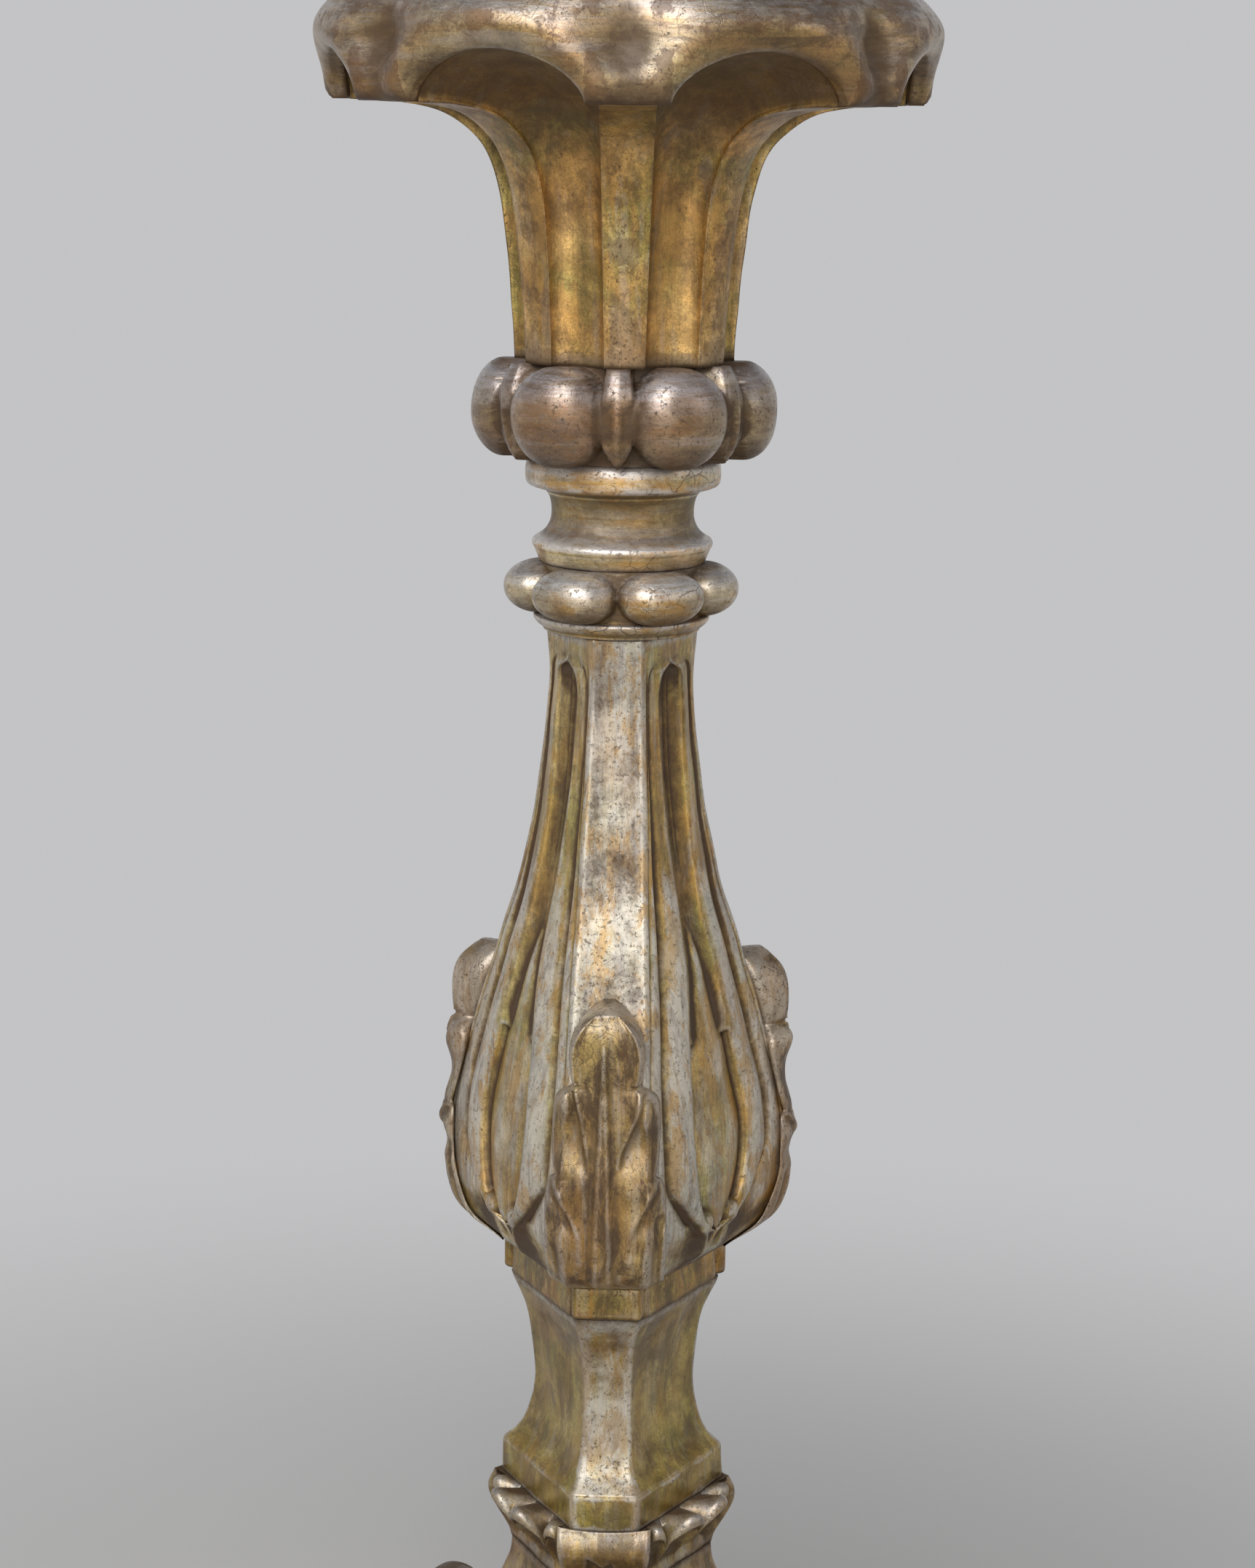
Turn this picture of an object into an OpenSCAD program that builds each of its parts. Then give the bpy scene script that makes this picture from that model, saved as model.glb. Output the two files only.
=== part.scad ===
// Torchere candle stand of carved and gilded wood, in millimetres.
// The origin is on the stand's axis at floor level, +Z is up and the front is -Y.
// Angles go round the axis from the front towards +X.

/* [Feet and floor board] */
// Height of each bun foot
foot_h = 24; // [16:1:40]
// Diameter of each bun foot
foot_d = 52; // [36:1:64]
// Distance from the board's cut corner in to a foot's centre
foot_inset = 34; // [26:1:50]
// Diameter of the turned peg on top of a foot
foot_peg_d = 16; // [8:1:24]
// Length of that peg
foot_peg_h = 14; // [8:1:17]
// Thickness of the three-sided floor board
board_t = 22; // [20:1:35]
// Distance from the axis to each cut corner of the board
board_reach = 176; // [160:1:200]
// Width of each cut corner
board_corner_w = 66; // [50:1:90]
// How far each side of the board curves in
board_hollow = 22; // [0:1:30]

/* [Base core] */
// Height of the three-sided core that the legs are fixed to
core_h = 271.5; // [250:0.5:320]
// Distance from the axis to the facets that carry the legs
core_reach = 66; // [56:1:80]
// Width of those facets
core_facet_w = 44; // [30:1:50]
// Distance from the axis to the facets at the core's neck
neck_reach = 57.5; // [50:0.5:64]
// Width of the facets at the neck
neck_facet_w = 37; // [30:1:44]
// Height of the flare between the legs and the neck
neck_flare_h = 28; // [15:1:40]

/* [Scroll legs] */
// Height of a leg over the board
leg_h = 227; // [200:1:240]
// Thickness of a leg
leg_t = 44; // [30:1:60]
// Diameter of the shoulder scroll
shoulder_d = 62; // [40:1:80]
// Distance from the axis to the outside of the shoulder scroll
shoulder_reach = 149; // [125:1:155]
// Diameter of the foot scroll
toe_d = 72; // [50:1:90]
// Distance from the axis to the outside of the foot scroll
toe_reach = 170; // [150:1:176]
// How far the front of the leg sweeps in between its scrolls
leg_sweep = 34; // [15:1:45]
// Diameter of the round eye in each scroll
eye_d = 24; // [14:1:36]
// How far an eye stands out from the leg's side
eye_proud = 4; // [1:0.5:8]
// Diameter of the dowels in each leg
dowel_d = 10; // [6:1:14]
// Length of those dowels
dowel_l = 44; // [30:1:50]

/* [Face bosses] */
// Width of the oval boss on each wide face of the core
boss_w = 46; // [30:1:60]
// Height of that boss
boss_h = 78; // [50:1:110]
// How far it stands out
boss_proud = 12; // [6:1:20]

/* [Crown and waist] */
// Height of the scrolled crown
crown_h = 40; // [34:0.5:60]
// Distance from the axis to the crown's narrow sides
crown_side_reach = 63; // [58:0.5:70]
// Distance from the axis to the outside of the crown's volutes
volute_reach = 79.5; // [76:0.5:90]
// Height of a volute
volute_d = 29; // [22:1:34]
// Angle from the middle of a wide face to each of its two volutes
volute_angle = 12; // [10:1:16]
// How far the volutes' middles lie under the crown's top
volute_drop = 3.5; // [0:0.5:8]
// Depth of the groove between two volutes
volute_gap = 12; // [6:1:18]
// Height of the bolster in the middle of each narrow side
bolster_h = 18; // [12:1:24]
// How far the bolster hangs down between its volutes
bolster_sag = 6; // [0:0.5:10]
// Height of the waist with its foot block
waist_h = 124.5; // [90:0.5:200]
// Distance from the axis to the waist's narrow facets at the slimmest point
waist_reach = 46.5; // [40:0.5:60]
// Width of those facets there
waist_facet_w = 25.5; // [20:0.5:40]
// Distance from the axis to the facets of the foot block
block_reach = 64; // [56:0.5:72]
// Width of those facets
block_facet_w = 37.5; // [30:0.5:44]
// Height of the foot block
block_h = 18; // [10:1:30]

/* [Key ring] */
// Height of the ring under the baluster
ring_h = 23; // [14:1:40]
// Distance from the axis to the ring's narrow facets
ring_reach = 59; // [54:0.5:66]
// Width of those facets
ring_facet_w = 42; // [34:1:50]
// Width of the raised key on each facet
key_w = 40.5; // [24:0.5:48]
// Height of the key
key_h = 21; // [10:1:23]
// How far the key stands out
key_proud = 4.5; // [2:0.5:8]

/* [Baluster] */
// Height of the baluster
baluster_h = 356; // [250:1:480]
// Distance from the axis to the narrow facets at the belly
belly_reach = 97.5; // [80:0.5:120]
// Width of the narrow facets at the belly
belly_facet_w = 47; // [36:1:60]
// Distance from the axis to the narrow facets at the slim top
throat_reach = 38; // [32:1:48]
// Width of the narrow facets at the slim top
throat_facet_w = 28; // [22:1:36]
// Depth of the channel down the upper part of each wide face
channel_depth = 4.5; // [2:0.5:8]
// How far the frame round each channel and teardrop pod stands out
frame_proud = 2; // [0:0.5:4]
// Depth of the groove between a pod and its frame
pod_groove = 4; // [1:0.5:6]
// Greatest width of a pod with its groove
pod_w = 58; // [30:1:70]

/* [Acanthus leaves] */
// Height of the leaf on each narrow facet
leaf_h = 166; // [100:1:220]
// Width of the leaf's top lobe
leaf_top_w = 39; // [24:1:48]
// Width across the middle lobes
leaf_middle_w = 56; // [40:1:64]
// Width across the lower lobes
leaf_low_w = 66; // [48:1:72]
// How far the leaf's top tip stands out from the facet
leaf_tip_proud = 26; // [10:0.5:36]
// Thickness of the leaf below its tip
leaf_t = 5; // [2:0.5:8]

/* [Rings and spool] */
// Diameter of the ring on top of the baluster
neck_ring_d = 96.6; // [84:0.2:120]
// Height of that ring
neck_ring_h = 9; // [5:1:16]
// Height of the small beaded ring
bead_ring_h = 28; // [20:1:40]
// Distance from the axis to the middle of each small bead
small_bead_reach = 49; // [44:1:56]
// Thickness of a small bead
small_bead_d = 30; // [22:1:36]
// Length of a small bead round the axis
small_bead_l = 56; // [40:1:64]
// How far the small beads' middles lie outside the ring's core
small_bead_sink = 6; // [3:1:12]
// Height of the turned spool
spool_h = 57; // [40:1:90]
// Diameter of the spool's lower ring
spool_foot_d = 95; // [84:1:120]
// Diameter of the spool at its slimmest point
spool_waist_d = 77; // [60:1:90]
// Diameter of the spool's top collar
spool_collar_d = 106; // [90:1:130]
// Height of that collar
spool_collar_h = 16; // [8:1:24]

/* [Beaded knop] */
// Height of the knop
knop_h = 52; // [40:1:80]
// Distance from the axis to the middle of each bead
bead_reach = 63; // [58:1:72]
// Thickness of a bead, measured towards the axis
bead_d = 39.2; // [30:0.2:50]
// Length of a bead round the axis
bead_l = 54; // [40:1:64]
// How far the beads' middles lie outside the knop's core
bead_sink = 12; // [6:1:18]
// Distance from the axis to the tip of each dart between the beads
dart_reach = 73; // [66:1:80]
// Width of a dart
dart_w = 20; // [12:1:28]
// How far a dart falls away from its crease to its edges
dart_fall = 5; // [2:0.5:8]

/* [Trumpet and pan] */
// Number of ribs on the trumpet and the pan
ribs = 7; // [5:1:9]
// Angle that the trumpet and the pan are turned by
pan_turn = 3; // [-10:0.5:10]
// Height of the trumpet up to the pan's floor
trumpet_h = 165; // [120:1:260]
// Diameter over the ribs at the trumpet's foot
trumpet_foot_d = 119; // [108:1:140]
// Width of a rib at the trumpet's foot
rib_w = 21; // [14:1:28]
// Depth of the flutes at the trumpet's foot
flute_depth = 8; // [3:0.5:14]
// Diameter of the trumpet's head inside the pan
head_d = 299; // [270:1:310]
// Greatest diameter of the pan
pan_d = 330; // [322:1:370]
// Height of the pan from the rib lobes to the rim
pan_h = 58; // [50:1:80]
// How far the pan reaches down past the trumpet's head
pan_rebate = 30; // [22:1:36]
// Depth of the dish in the pan's top
dish_depth = 10; // [4:1:16]
// Diameter of the dish's floor
dish_d = 272; // [256:1:284]
// How far the arches between the ribs rise
arch_rise = 26; // [10:1:28]
// Width of the lobe under each rib
lobe_w = 44; // [30:1:56]

/* [Pricket and tray] */
// Diameter of the sheet-metal wax tray
tray_d = 248; // [160:1:252]
// Thickness of the tray's sheet
tray_t = 1.2; // [0.8:0.1:2]
// Height of the tray's rim
tray_rim_h = 8; // [4:1:14]
// Diameter of the iron collar that the candle stands on
collar_d = 48; // [30:1:80]
// Thickness of that collar
collar_t = 4; // [2:0.5:8]
// Diameter of the straight stem inside the candle
stem_d = 12; // [8:1:16]
// Height of the stem
stem_h = 18; // [10:1:30]
// Height of the spike over the stem
spike_h = 48; // [30:1:90]
// Diameter of the tang that is driven into the trumpet
tang_d = 9; // [6:0.5:12]
// Depth of the tang in the trumpet
tang_depth = 60; // [30:1:90]

/* [Spindles and fasteners] */
// Diameter of the wooden spindles inside the column
spindle_d = 28; // [20:1:34]
// Depth of a spindle's socket in the last piece at each end
socket_depth = 40; // [25:1:60]
// Clearance round spindles, dowels, pegs and tangs
fit_gap = 0.1; // [0.05:0.05:0.3]
// Glue line between a leaf and the facet that it lies on
seat_gap = 0.2; // [0.1:0.05:0.4]
// Diameter of the screws under the floor board
screw_d = 5; // [3:0.5:7]
// Length of those screws
screw_l = 48; // [40:1:60]
// Distance from the axis to the screws in the core
core_screw_reach = 40; // [30:1:46]
// Distance from the axis to the screws in the legs
leg_screw_reach = 100; // [90:1:110]

/* [Hidden] */

leg_turns = [0, 120, 240];
face_turns = [60, 180, 300];

foot_reach = board_reach - foot_inset;
board_z = foot_h;
core_z = board_z + board_t;
crown_z = core_z + core_h;
waist_z = crown_z + crown_h;
ring_z = waist_z + waist_h;
baluster_z = ring_z + ring_h;
neck_ring_z = baluster_z + baluster_h;
bead_ring_z = neck_ring_z + neck_ring_h;
spool_z = bead_ring_z + bead_ring_h;
knop_z = spool_z + spool_h;
trumpet_z = knop_z + knop_h;
head_z = trumpet_z + trumpet_h;
pan_z = head_z - pan_rebate;
dish_z = pan_z + pan_h - dish_depth;
tray_top_z = dish_z + tray_t;

foot_scroll_r = toe_d / 2;
shoulder_r = shoulder_d / 2;
leg_foot_middle = [toe_reach - foot_scroll_r, foot_scroll_r];
leg_shoulder_middle = [shoulder_reach - shoulder_r, leg_h - shoulder_r];
dowel_heights = [0.3, 0.7] * leg_h;
screw_head_d = 2 * screw_d;
screw_head_h = 0.6 * screw_d;

gilt = "goldenrod";
worn_gilt = "darkgoldenrod";
bare_wood = "saddlebrown";
iron = "dimgray";

// ---- curves and sections ----

function mix(a, b, t) = a + (b - a) * t;

function within(x, low, high) = min(max(x, low), high);

// Slope of a curve at its point i, from the points on either side
function slope(points, i) =
  let (before = points[max(i - 1, 0)], after = points[min(i + 1, len(points) - 1)])
  (after.y - before.y) / (after.x - before.x);

// Height of the smooth curve through points [x, y] at x
function curve(points, x, i = 0) =
  i < len(points) - 2 && x > points[i + 1].x ? curve(points, x, i + 1) :
  let (
    low = points[i],
    high = points[i + 1],
    span = high.x - low.x,
    t = within((x - low.x) / span, 0, 1),
    ease = t * t * (3 - 2 * t)
  )
  mix(low.y, high.y, ease)
    + span * t * (1 - t) * ((1 - t) * slope(points, i) - t * slope(points, i + 1));

// A point at an angle round the axis
function polar(r, angle, z) = [r * sin(angle), -r * cos(angle), z];

// A point in front of the axis and to its right, turned round the axis
function turned(ahead, right, angle, z) =
  [right * cos(angle) + ahead * sin(angle), right * sin(angle) - ahead * cos(angle), z];

// Distance from the axis to the wide faces of a three-sided section
function face_reach(reach, facet_w) = reach * cos(60) + facet_w / 2 * sin(60);

// Half the width of those faces
function face_half(reach, facet_w) = reach * sin(60) - facet_w / 2 * cos(60);

// The six corners of a three-sided section with cut corners
function three_sided(reach, facet_w, z) =
  [for (turn = leg_turns, side = [-1, 1]) turned(reach, side * facet_w / 2, turn, z)];

function flat(ring) = [for (p = ring) [p.x, p.y]];

// The distance that a ray at an angle from a bead's middle first leaves the bead at, or 0
function bead_edge(angle, dz, reach, thick, long, tall) =
  let (
    left = 1 - pow(2 * dz / tall, 2),
    p = pow(thick / 2, -2),
    a = pow(cos(angle), 2) * p + pow(sin(angle) * 2 / long, 2),
    b = reach * cos(angle) * p,
    c = reach * reach * p - left,
    root = b * b - a * c
  )
  left <= 0 || root <= 0 ? 0 : (b + sqrt(root)) / a;

// Angle from the nearest of several equal divisions of the circle
function from_nearest(angle, count) =
  let (step = 360 / count)
  abs(angle - step * round(angle / step));

// A closed solid through rings with the same number of points, the lowest or innermost first
module skin(rings) {
  n = len(rings[0]);
  m = len(rings);
  sides = [
    for (i = [0 : m - 2], k = [0 : n - 1])
      let (a = i * n + k, b = i * n + (k + 1) % n)
        each [[a, a + n, b + n], [a, b + n, b]]
  ];
  first = [for (k = [0 : n - 1]) [m * n, k, (k + 1) % n]];
  last = [for (k = [0 : n - 1]) [m * n + 1, (m - 1) * n + (k + 1) % n, (m - 1) * n + k]];
  middles = [for (ring = [rings[0], rings[m - 1]]) [for (p = ring) 1] * ring / n];
  points = concat([for (ring = rings) each ring], middles);
  polyhedron(points, concat(first, sides, last), convexity = 8);
}

module turned_solid(outline) {
  rotate_extrude($fn = 96) polygon(outline);
}

module peg(d, low, high) {
  translate([0, 0, low]) cylinder(d = d, h = high - low, $fn = 64);
}

module socket(d, low, high) {
  peg(d + 2 * fit_gap, low, high);
}

module at_legs() {
  for (turn = leg_turns) rotate(turn) children();
}

// ---- pricket and tray ----

module pricket() {
  color(iron) {
    peg(tang_d, head_z - tang_depth, tray_top_z);
    peg(collar_d, tray_top_z, tray_top_z + collar_t);
    peg(stem_d, tray_top_z + collar_t, tray_top_z + collar_t + stem_h);
    translate([0, 0, tray_top_z + collar_t + stem_h])
      cylinder(d1 = stem_d, d2 = 1, h = spike_h, $fn = 64);
  }
}

module wax_tray() {
  hole_r = tang_d / 2 + fit_gap;
  edge_r = tray_d / 2;
  slant = tray_rim_h / 2;
  color(worn_gilt) translate([0, 0, dish_z]) turned_solid([
    [hole_r, 0],
    [edge_r - slant, 0],
    [edge_r, tray_rim_h],
    [edge_r - tray_t, tray_rim_h],
    [edge_r - slant - tray_t, tray_t],
    [hole_r, tray_t]
  ]);
}

// ---- pan and trumpet ----

// Rise of the arch between two ribs: 0 across the lobe under a rib, 1 in the middle
function arch(angle, half_lobe) =
  let (
    half_arch = 180 / ribs - half_lobe,
    u = within((180 / ribs - from_nearest(angle, ribs)) / half_arch, 0, 1)
  )
  pow(1 - u * u, 0.6);

lobe_angle = asin(lobe_w / pan_d);
pan_steps = 12 * ribs;

// Rings of the pan's outside, each a share of its radius and a share of its height
pan_outline = [
  [0.955, 0], [0.975, 0.03], [0.993, 0.16], [1, 0.36], [1, 0.52], [0.988, 0.68], [0.963, 0.8],
  [0.945, 0.88], [0.925, 0.96], [0.905, 1], [0.88, 1]
];

function pan_ring(reach, height, lift) = [
  for (k = [0 : pan_steps - 1])
    let (angle = 360 * k / pan_steps)
      polar(reach, angle, pan_z + mix(lift * arch_rise * arch(angle, lobe_angle), pan_h, height))
];

module pan() {
  rim_inside = pan_outline[len(pan_outline) - 1].x * pan_d / 2;
  rings = concat(
    [pan_ring(head_d / 2 + fit_gap, pan_rebate / pan_h, 0)],
    [pan_ring(head_d / 2 + fit_gap, 0, 1)],
    [for (p = pan_outline) pan_ring(p.x * pan_d / 2, p.y, 1)],
    [pan_ring((dish_d / 2 + rim_inside) / 2, 1 - 0.4 * dish_depth / pan_h, 0)],
    [pan_ring(dish_d / 2, 1 - dish_depth / pan_h, 0)]
  );
  color(gilt) rotate(pan_turn) difference() {
    skin(rings);
    socket(tang_d, head_z - 1, dish_z + 1);
  }
}

// Over the ribs: radius as a share of the way from the foot to the head, and share of the height
rib_outline = [
  [0, 0], [0.015, 0.15], [0.045, 0.34], [0.09, 0.52], [0.16, 0.64], [0.27, 0.72], [0.45, 0.783],
  [0.7, 0.81], [0.93, 0.815], [1, 0.817]
];
// In the flutes: the same, with the flute's depth taken off at the foot
flute_outline = [
  [0, 0], [0.01, 0.15], [0.03, 0.34], [0.06, 0.5], [0.1, 0.61], [0.16, 0.71], [0.27, 0.81],
  [0.45, 0.89], [0.72, 0.95], [1, 0.98]
];
flute_fade = [1, 1.05, 1.15, 1.2, 1.1, 0.9, 0.6, 0.3, 0.1, 0];

function trumpet_ring(i) = [
  for (k = [0 : pan_steps - 1])
    let (
      angle = 360 * k / pan_steps,
      rib = rib_outline[i],
      flute = flute_outline[i],
      foot_r = trumpet_foot_d / 2,
      rib_r = mix(foot_r, head_d / 2, rib.x),
      flute_r = mix(foot_r, head_d / 2, flute.x) - flute_depth * flute_fade[i],
      half_rib = min(asin(rib_w * (1 + rib.y) / 2 / rib_r), lobe_angle),
      hollow = arch(angle, half_rib)
    )
    polar(mix(rib_r, flute_r, hollow), angle, trumpet_z + trumpet_h * mix(rib.y, flute.y, hollow))
];

module trumpet() {
  wall = [for (i = [0 : len(rib_outline) - 1]) trumpet_ring(i)];
  head = [for (p = wall[len(wall) - 1]) [p.x, p.y, head_z]];
  color(gilt) rotate(pan_turn) difference() {
    skin(concat(wall, [head]));
    socket(spindle_d, trumpet_z - 1, trumpet_z + socket_depth);
    socket(tang_d, head_z - tang_depth, head_z + 1);
  }
}

// ---- beaded pieces and turned pieces ----

beads = 6;
bead_steps = 12 * beads;

// A six-beaded ring: beads round a plain core, with darts between them where dart_r is given
function beads_at(z, height, core_r, reach, thick, long, dart_r, tall) = [
  for (k = [0 : bead_steps - 1])
    let (
      angle = 360 * k / bead_steps,
      dz = z - height / 2,
      between = from_nearest(angle, beads),
      bead = bead_edge(180 / beads - between, dz, reach, thick, long, tall),
      half_dart = dart_w / 2 * sqrt(max(0, 1 - pow(1.9 * min(dz, 0) / height, 2))),
      across = dart_r * sin(between),
      dart = across >= half_dart ? 0 : dart_r - dart_fall * pow(across / half_dart, 2) - abs(dz) / 4
    )
    polar(max(core_r, bead, dart), angle, z)
];

module beaded_knop() {
  tall = 1.025 * knop_h;
  color(worn_gilt) translate([0, 0, knop_z]) difference() {
    skin([
      for (i = [0 : 14])
        beads_at((1 - cos(180 / 14 * i)) / 2 * knop_h, knop_h, bead_reach - bead_sink, bead_reach,
                 bead_d, bead_l, dart_reach, tall)
    ]);
    socket(spindle_d, -1, knop_h + 1);
  }
}

module beaded_ring() {
  tall = 1.035 * bead_ring_h;
  color(gilt) translate([0, 0, bead_ring_z]) difference() {
    skin([
      for (i = [0 : 10])
        beads_at((1 - cos(18 * i)) / 2 * bead_ring_h, bead_ring_h, small_bead_reach - small_bead_sink,
                 small_bead_reach, small_bead_d, small_bead_l, 0, tall)
    ]);
    socket(spindle_d, -1, bead_ring_h + 1);
  }
}

module spool() {
  foot_r = spool_foot_d / 2;
  waist_r = spool_waist_d / 2;
  collar_r = spool_collar_d / 2;
  hole_r = spindle_d / 2 + fit_gap;
  foot_top = 0.12 * spool_h;
  collar_low = spool_h - spool_collar_h;
  neck = [[foot_top, foot_r - 1.5], [0.25 * spool_h, waist_r + 3], [0.46 * spool_h, waist_r],
          [0.62 * spool_h, waist_r + 2]];
  cove = [
    for (t = [0 : 0.125 : 1])
      let (z = mix(foot_top + 2, 0.62 * spool_h, t))
        [curve(neck, z), z]
  ];
  color(gilt) translate([0, 0, spool_z]) turned_solid(concat(
    [[hole_r, 0], [foot_r - 1.5, 0], [foot_r, 1.5], [foot_r, foot_top]],
    cove,
    [[waist_r + 2, collar_low], [collar_r - 2.5, collar_low], [collar_r, collar_low + 2]],
    [[collar_r, spool_h - 2], [collar_r - 2, spool_h], [hole_r, spool_h]]
  ));
}

module neck_ring() {
  r = neck_ring_d / 2;
  hole_r = spindle_d / 2 + fit_gap;
  round = [
    for (a = [-75 : 25 : 75])
      [r - neck_ring_h / 3 * (1 - cos(a)), neck_ring_h / 2 * (1 + sin(a) / sin(75))]
  ];
  color(worn_gilt) translate([0, 0, neck_ring_z])
    turned_solid(concat([[hole_r, 0]], round, [[hole_r, neck_ring_h]]));
}

// ---- baluster and leaves ----

// Share of the height, and share of the way from the throat to the belly
belly_outline = [
  [0, 0.52], [0.03, 0.84], [0.07, 0.97], [0.13, 1], [0.2, 0.98], [0.28, 0.88], [0.37, 0.73],
  [0.49, 0.5], [0.62, 0.255], [0.74, 0.11], [0.9, 0], [1, 0.03]
];
belly_widening = [[0, 0.7], [0.13, 1], [0.36, 0.79], [0.49, 0.63], [0.62, 0.4], [0.9, 0.02], [1, 0]];
// Outline of the pod with the channel that runs up from it, as a share of the pod's half width
teardrop = [
  [0.065, 0], [0.08, 0.4], [0.12, 0.78], [0.19, 1], [0.28, 0.95], [0.4, 0.68], [0.53, 0.42],
  [0.7, 0.27], [0.9, 0.24], [0.94, 0.2], [0.955, 0]
];
// Where the pod's apex ends and the plain channel begins
pod_top = [0.48, 0.56];

function baluster_reach(t) = mix(throat_reach, belly_reach, curve(belly_outline, t));

function baluster_facet(t) = mix(throat_facet_w, belly_facet_w, curve(belly_widening, t));

function pod_half(t) =
  t <= teardrop[0].x || t >= teardrop[len(teardrop) - 1].x ? 0 : pod_w / 2 * curve(teardrop, t);

// Depth under the frame at a share s of the half width: a round channel above, a round pod below
function carved_depth(t, s) =
  let (pod = within((pod_top.y - t) / (pod_top.y - pod_top.x), 0, 1), a = abs(s))
  mix(channel_depth * (1 - a * a), pod_groove * min(pow(a / 0.9, 3), 10 * (1 - a)), pod);

// One ring of the baluster: a narrow facet, then a wide face with its frame and pod, three times
function baluster_ring(t) = [
  for (turn = leg_turns)
    let (
      reach = baluster_reach(t),
      facet_w = baluster_facet(t),
      z = baluster_z + t * baluster_h,
      wide = face_half(reach, facet_w),
      ahead = face_reach(reach, facet_w),
      half = pod_half(t),
      edge = max(min(half, 0.86 * wide), 0.02 * wide),
      proud = half > 0 ? frame_proud * min(1, half / 4) : 0
    )
    each concat(
      [for (side = [-1, -0.33, 0.33]) turned(reach, side * facet_w / 2, turn, z)],
      [turned(ahead, -wide, turn + 60, z), turned(ahead + proud / 2, -(wide + edge) / 2, turn + 60, z)],
      [
        for (s = [-1, -0.9, -0.65, -0.3, 0, 0.3, 0.65, 0.9, 1])
          turned(ahead + proud - (half > 0 ? carved_depth(t, s) : 0), s * edge, turn + 60, z)
      ],
      [turned(ahead + proud / 2, (wide + edge) / 2, turn + 60, z)]
    )
];

baluster_levels = [
  0, 0.015, 0.03, 0.048, 0.066, 0.075, 0.09, 0.11, 0.13, 0.155, 0.18, 0.21, 0.24, 0.28, 0.32, 0.36,
  0.4, 0.45, 0.5, 0.55, 0.6, 0.66, 0.72, 0.79, 0.86, 0.91, 0.94, 0.954, 0.975, 1
];

module baluster() {
  color(gilt) difference() {
    skin([for (t = baluster_levels) baluster_ring(t)]);
    socket(spindle_d, baluster_z - 1, baluster_z + socket_depth);
    socket(spindle_d, neck_ring_z - socket_depth, neck_ring_z + 1);
  }
}

// Each lobe of a leaf: its lowest and highest level, its outline and its width
leaf_lobes = [
  [0, 0.44, [[0, 0.85], [0.12, 0.93], [0.28, 1], [0.4, 1], [0.44, 0.95]], leaf_low_w],
  [0.455, 0.715, [[0.455, 0.92], [0.56, 0.9], [0.66, 0.97], [0.715, 1]], leaf_middle_w],
  [0.73, 1, [[0.73, 0.72], [0.8, 0.85], [0.88, 1], [0.94, 0.92], [0.98, 0.6], [1, 0.3]], leaf_top_w]
];
// How far the leaf stands out at each level, from its flat thickness to its tip
leaf_curl = [[0, 0], [0.35, 0.04], [0.58, 0.24], [0.72, 0.52], [0.84, 0.8], [0.94, 1], [1, 0.86]];
// Slope at which a leaf folds back past the corners of the facet that it lies on
leaf_fold = 1;

// The baluster's straight-sided surface between its levels
carved_reach = [for (t = baluster_levels) [t, baluster_reach(t)]];
carved_facet = [for (t = baluster_levels) [t, baluster_facet(t)]];

// Levels of one lobe, with all the baluster's own levels that it covers
function lobe_levels(low, high) = concat(
  [low],
  [
    for (level = baluster_levels)
      let (t = level * baluster_h / leaf_h)
        if (t > low + 0.01 && t < high - 0.01) t
  ],
  [for (t = [0.94, 0.98]) if (t > low && t < high) t],
  [high]
);

function leaf_ring(t, half) =
  let (
    z = baluster_z + t * leaf_h,
    share = t * leaf_h / baluster_h,
    reach = lookup(share, carved_reach) + seat_gap,
    facet_half = lookup(share, carved_facet) / 2,
    corner = min(facet_half, 0.96 * half),
    vein = 0.15 * half,
    thick = leaf_t + (leaf_tip_proud - leaf_t) * curve(leaf_curl, t),
    front = [[-half, 0.7], [-corner, 0.9], [-vein, 1], [vein, 1], [corner, 0.9], [half, 0.7]]
  )
  concat(
    [for (p = front) [p.x, leaf_fold * max(0, abs(p.x) - facet_half) - reach - p.y * thick, z]],
    [
      for (x = [half, corner, -corner, -half])
        [x, leaf_fold * max(0, abs(x) - facet_half) - reach, z]
    ]
  );

module leaf(turn) {
  rings = [
    for (lobe = leaf_lobes, t = lobe_levels(lobe[0], lobe[1]))
      leaf_ring(t, curve(lobe[2], t) * lobe[3] / 2)
  ];
  color(worn_gilt) rotate(turn) skin(rings);
}

// ---- key ring, waist and crown ----

module key_ring() {
  bevel_reach = mix(ring_reach, waist_reach, 0.25);
  color(gilt) difference() {
    union() {
      skin([
        three_sided(bevel_reach, ring_facet_w - 2, ring_z),
        three_sided(ring_reach, ring_facet_w, ring_z + 0.35 * ring_h),
        three_sided(ring_reach, ring_facet_w, ring_z + ring_h)
      ]);
      at_legs() translate([-key_w / 2, -ring_reach - key_proud, ring_z + (ring_h - key_h) / 2])
        cube([key_w, key_proud + 1, key_h]);
    }
    socket(spindle_d, ring_z - 1, ring_z + ring_h + 1);
  }
}

// Share of the height over the foot block, and share of the way from the waist to the block
waist_outline = [
  [0, 1], [0.07, 0.55], [0.16, 0.24], [0.3, 0.05], [0.5, 0], [0.75, 0.07], [0.86, 0.22],
  [0.93, 0.42], [1, 0.68]
];

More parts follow.
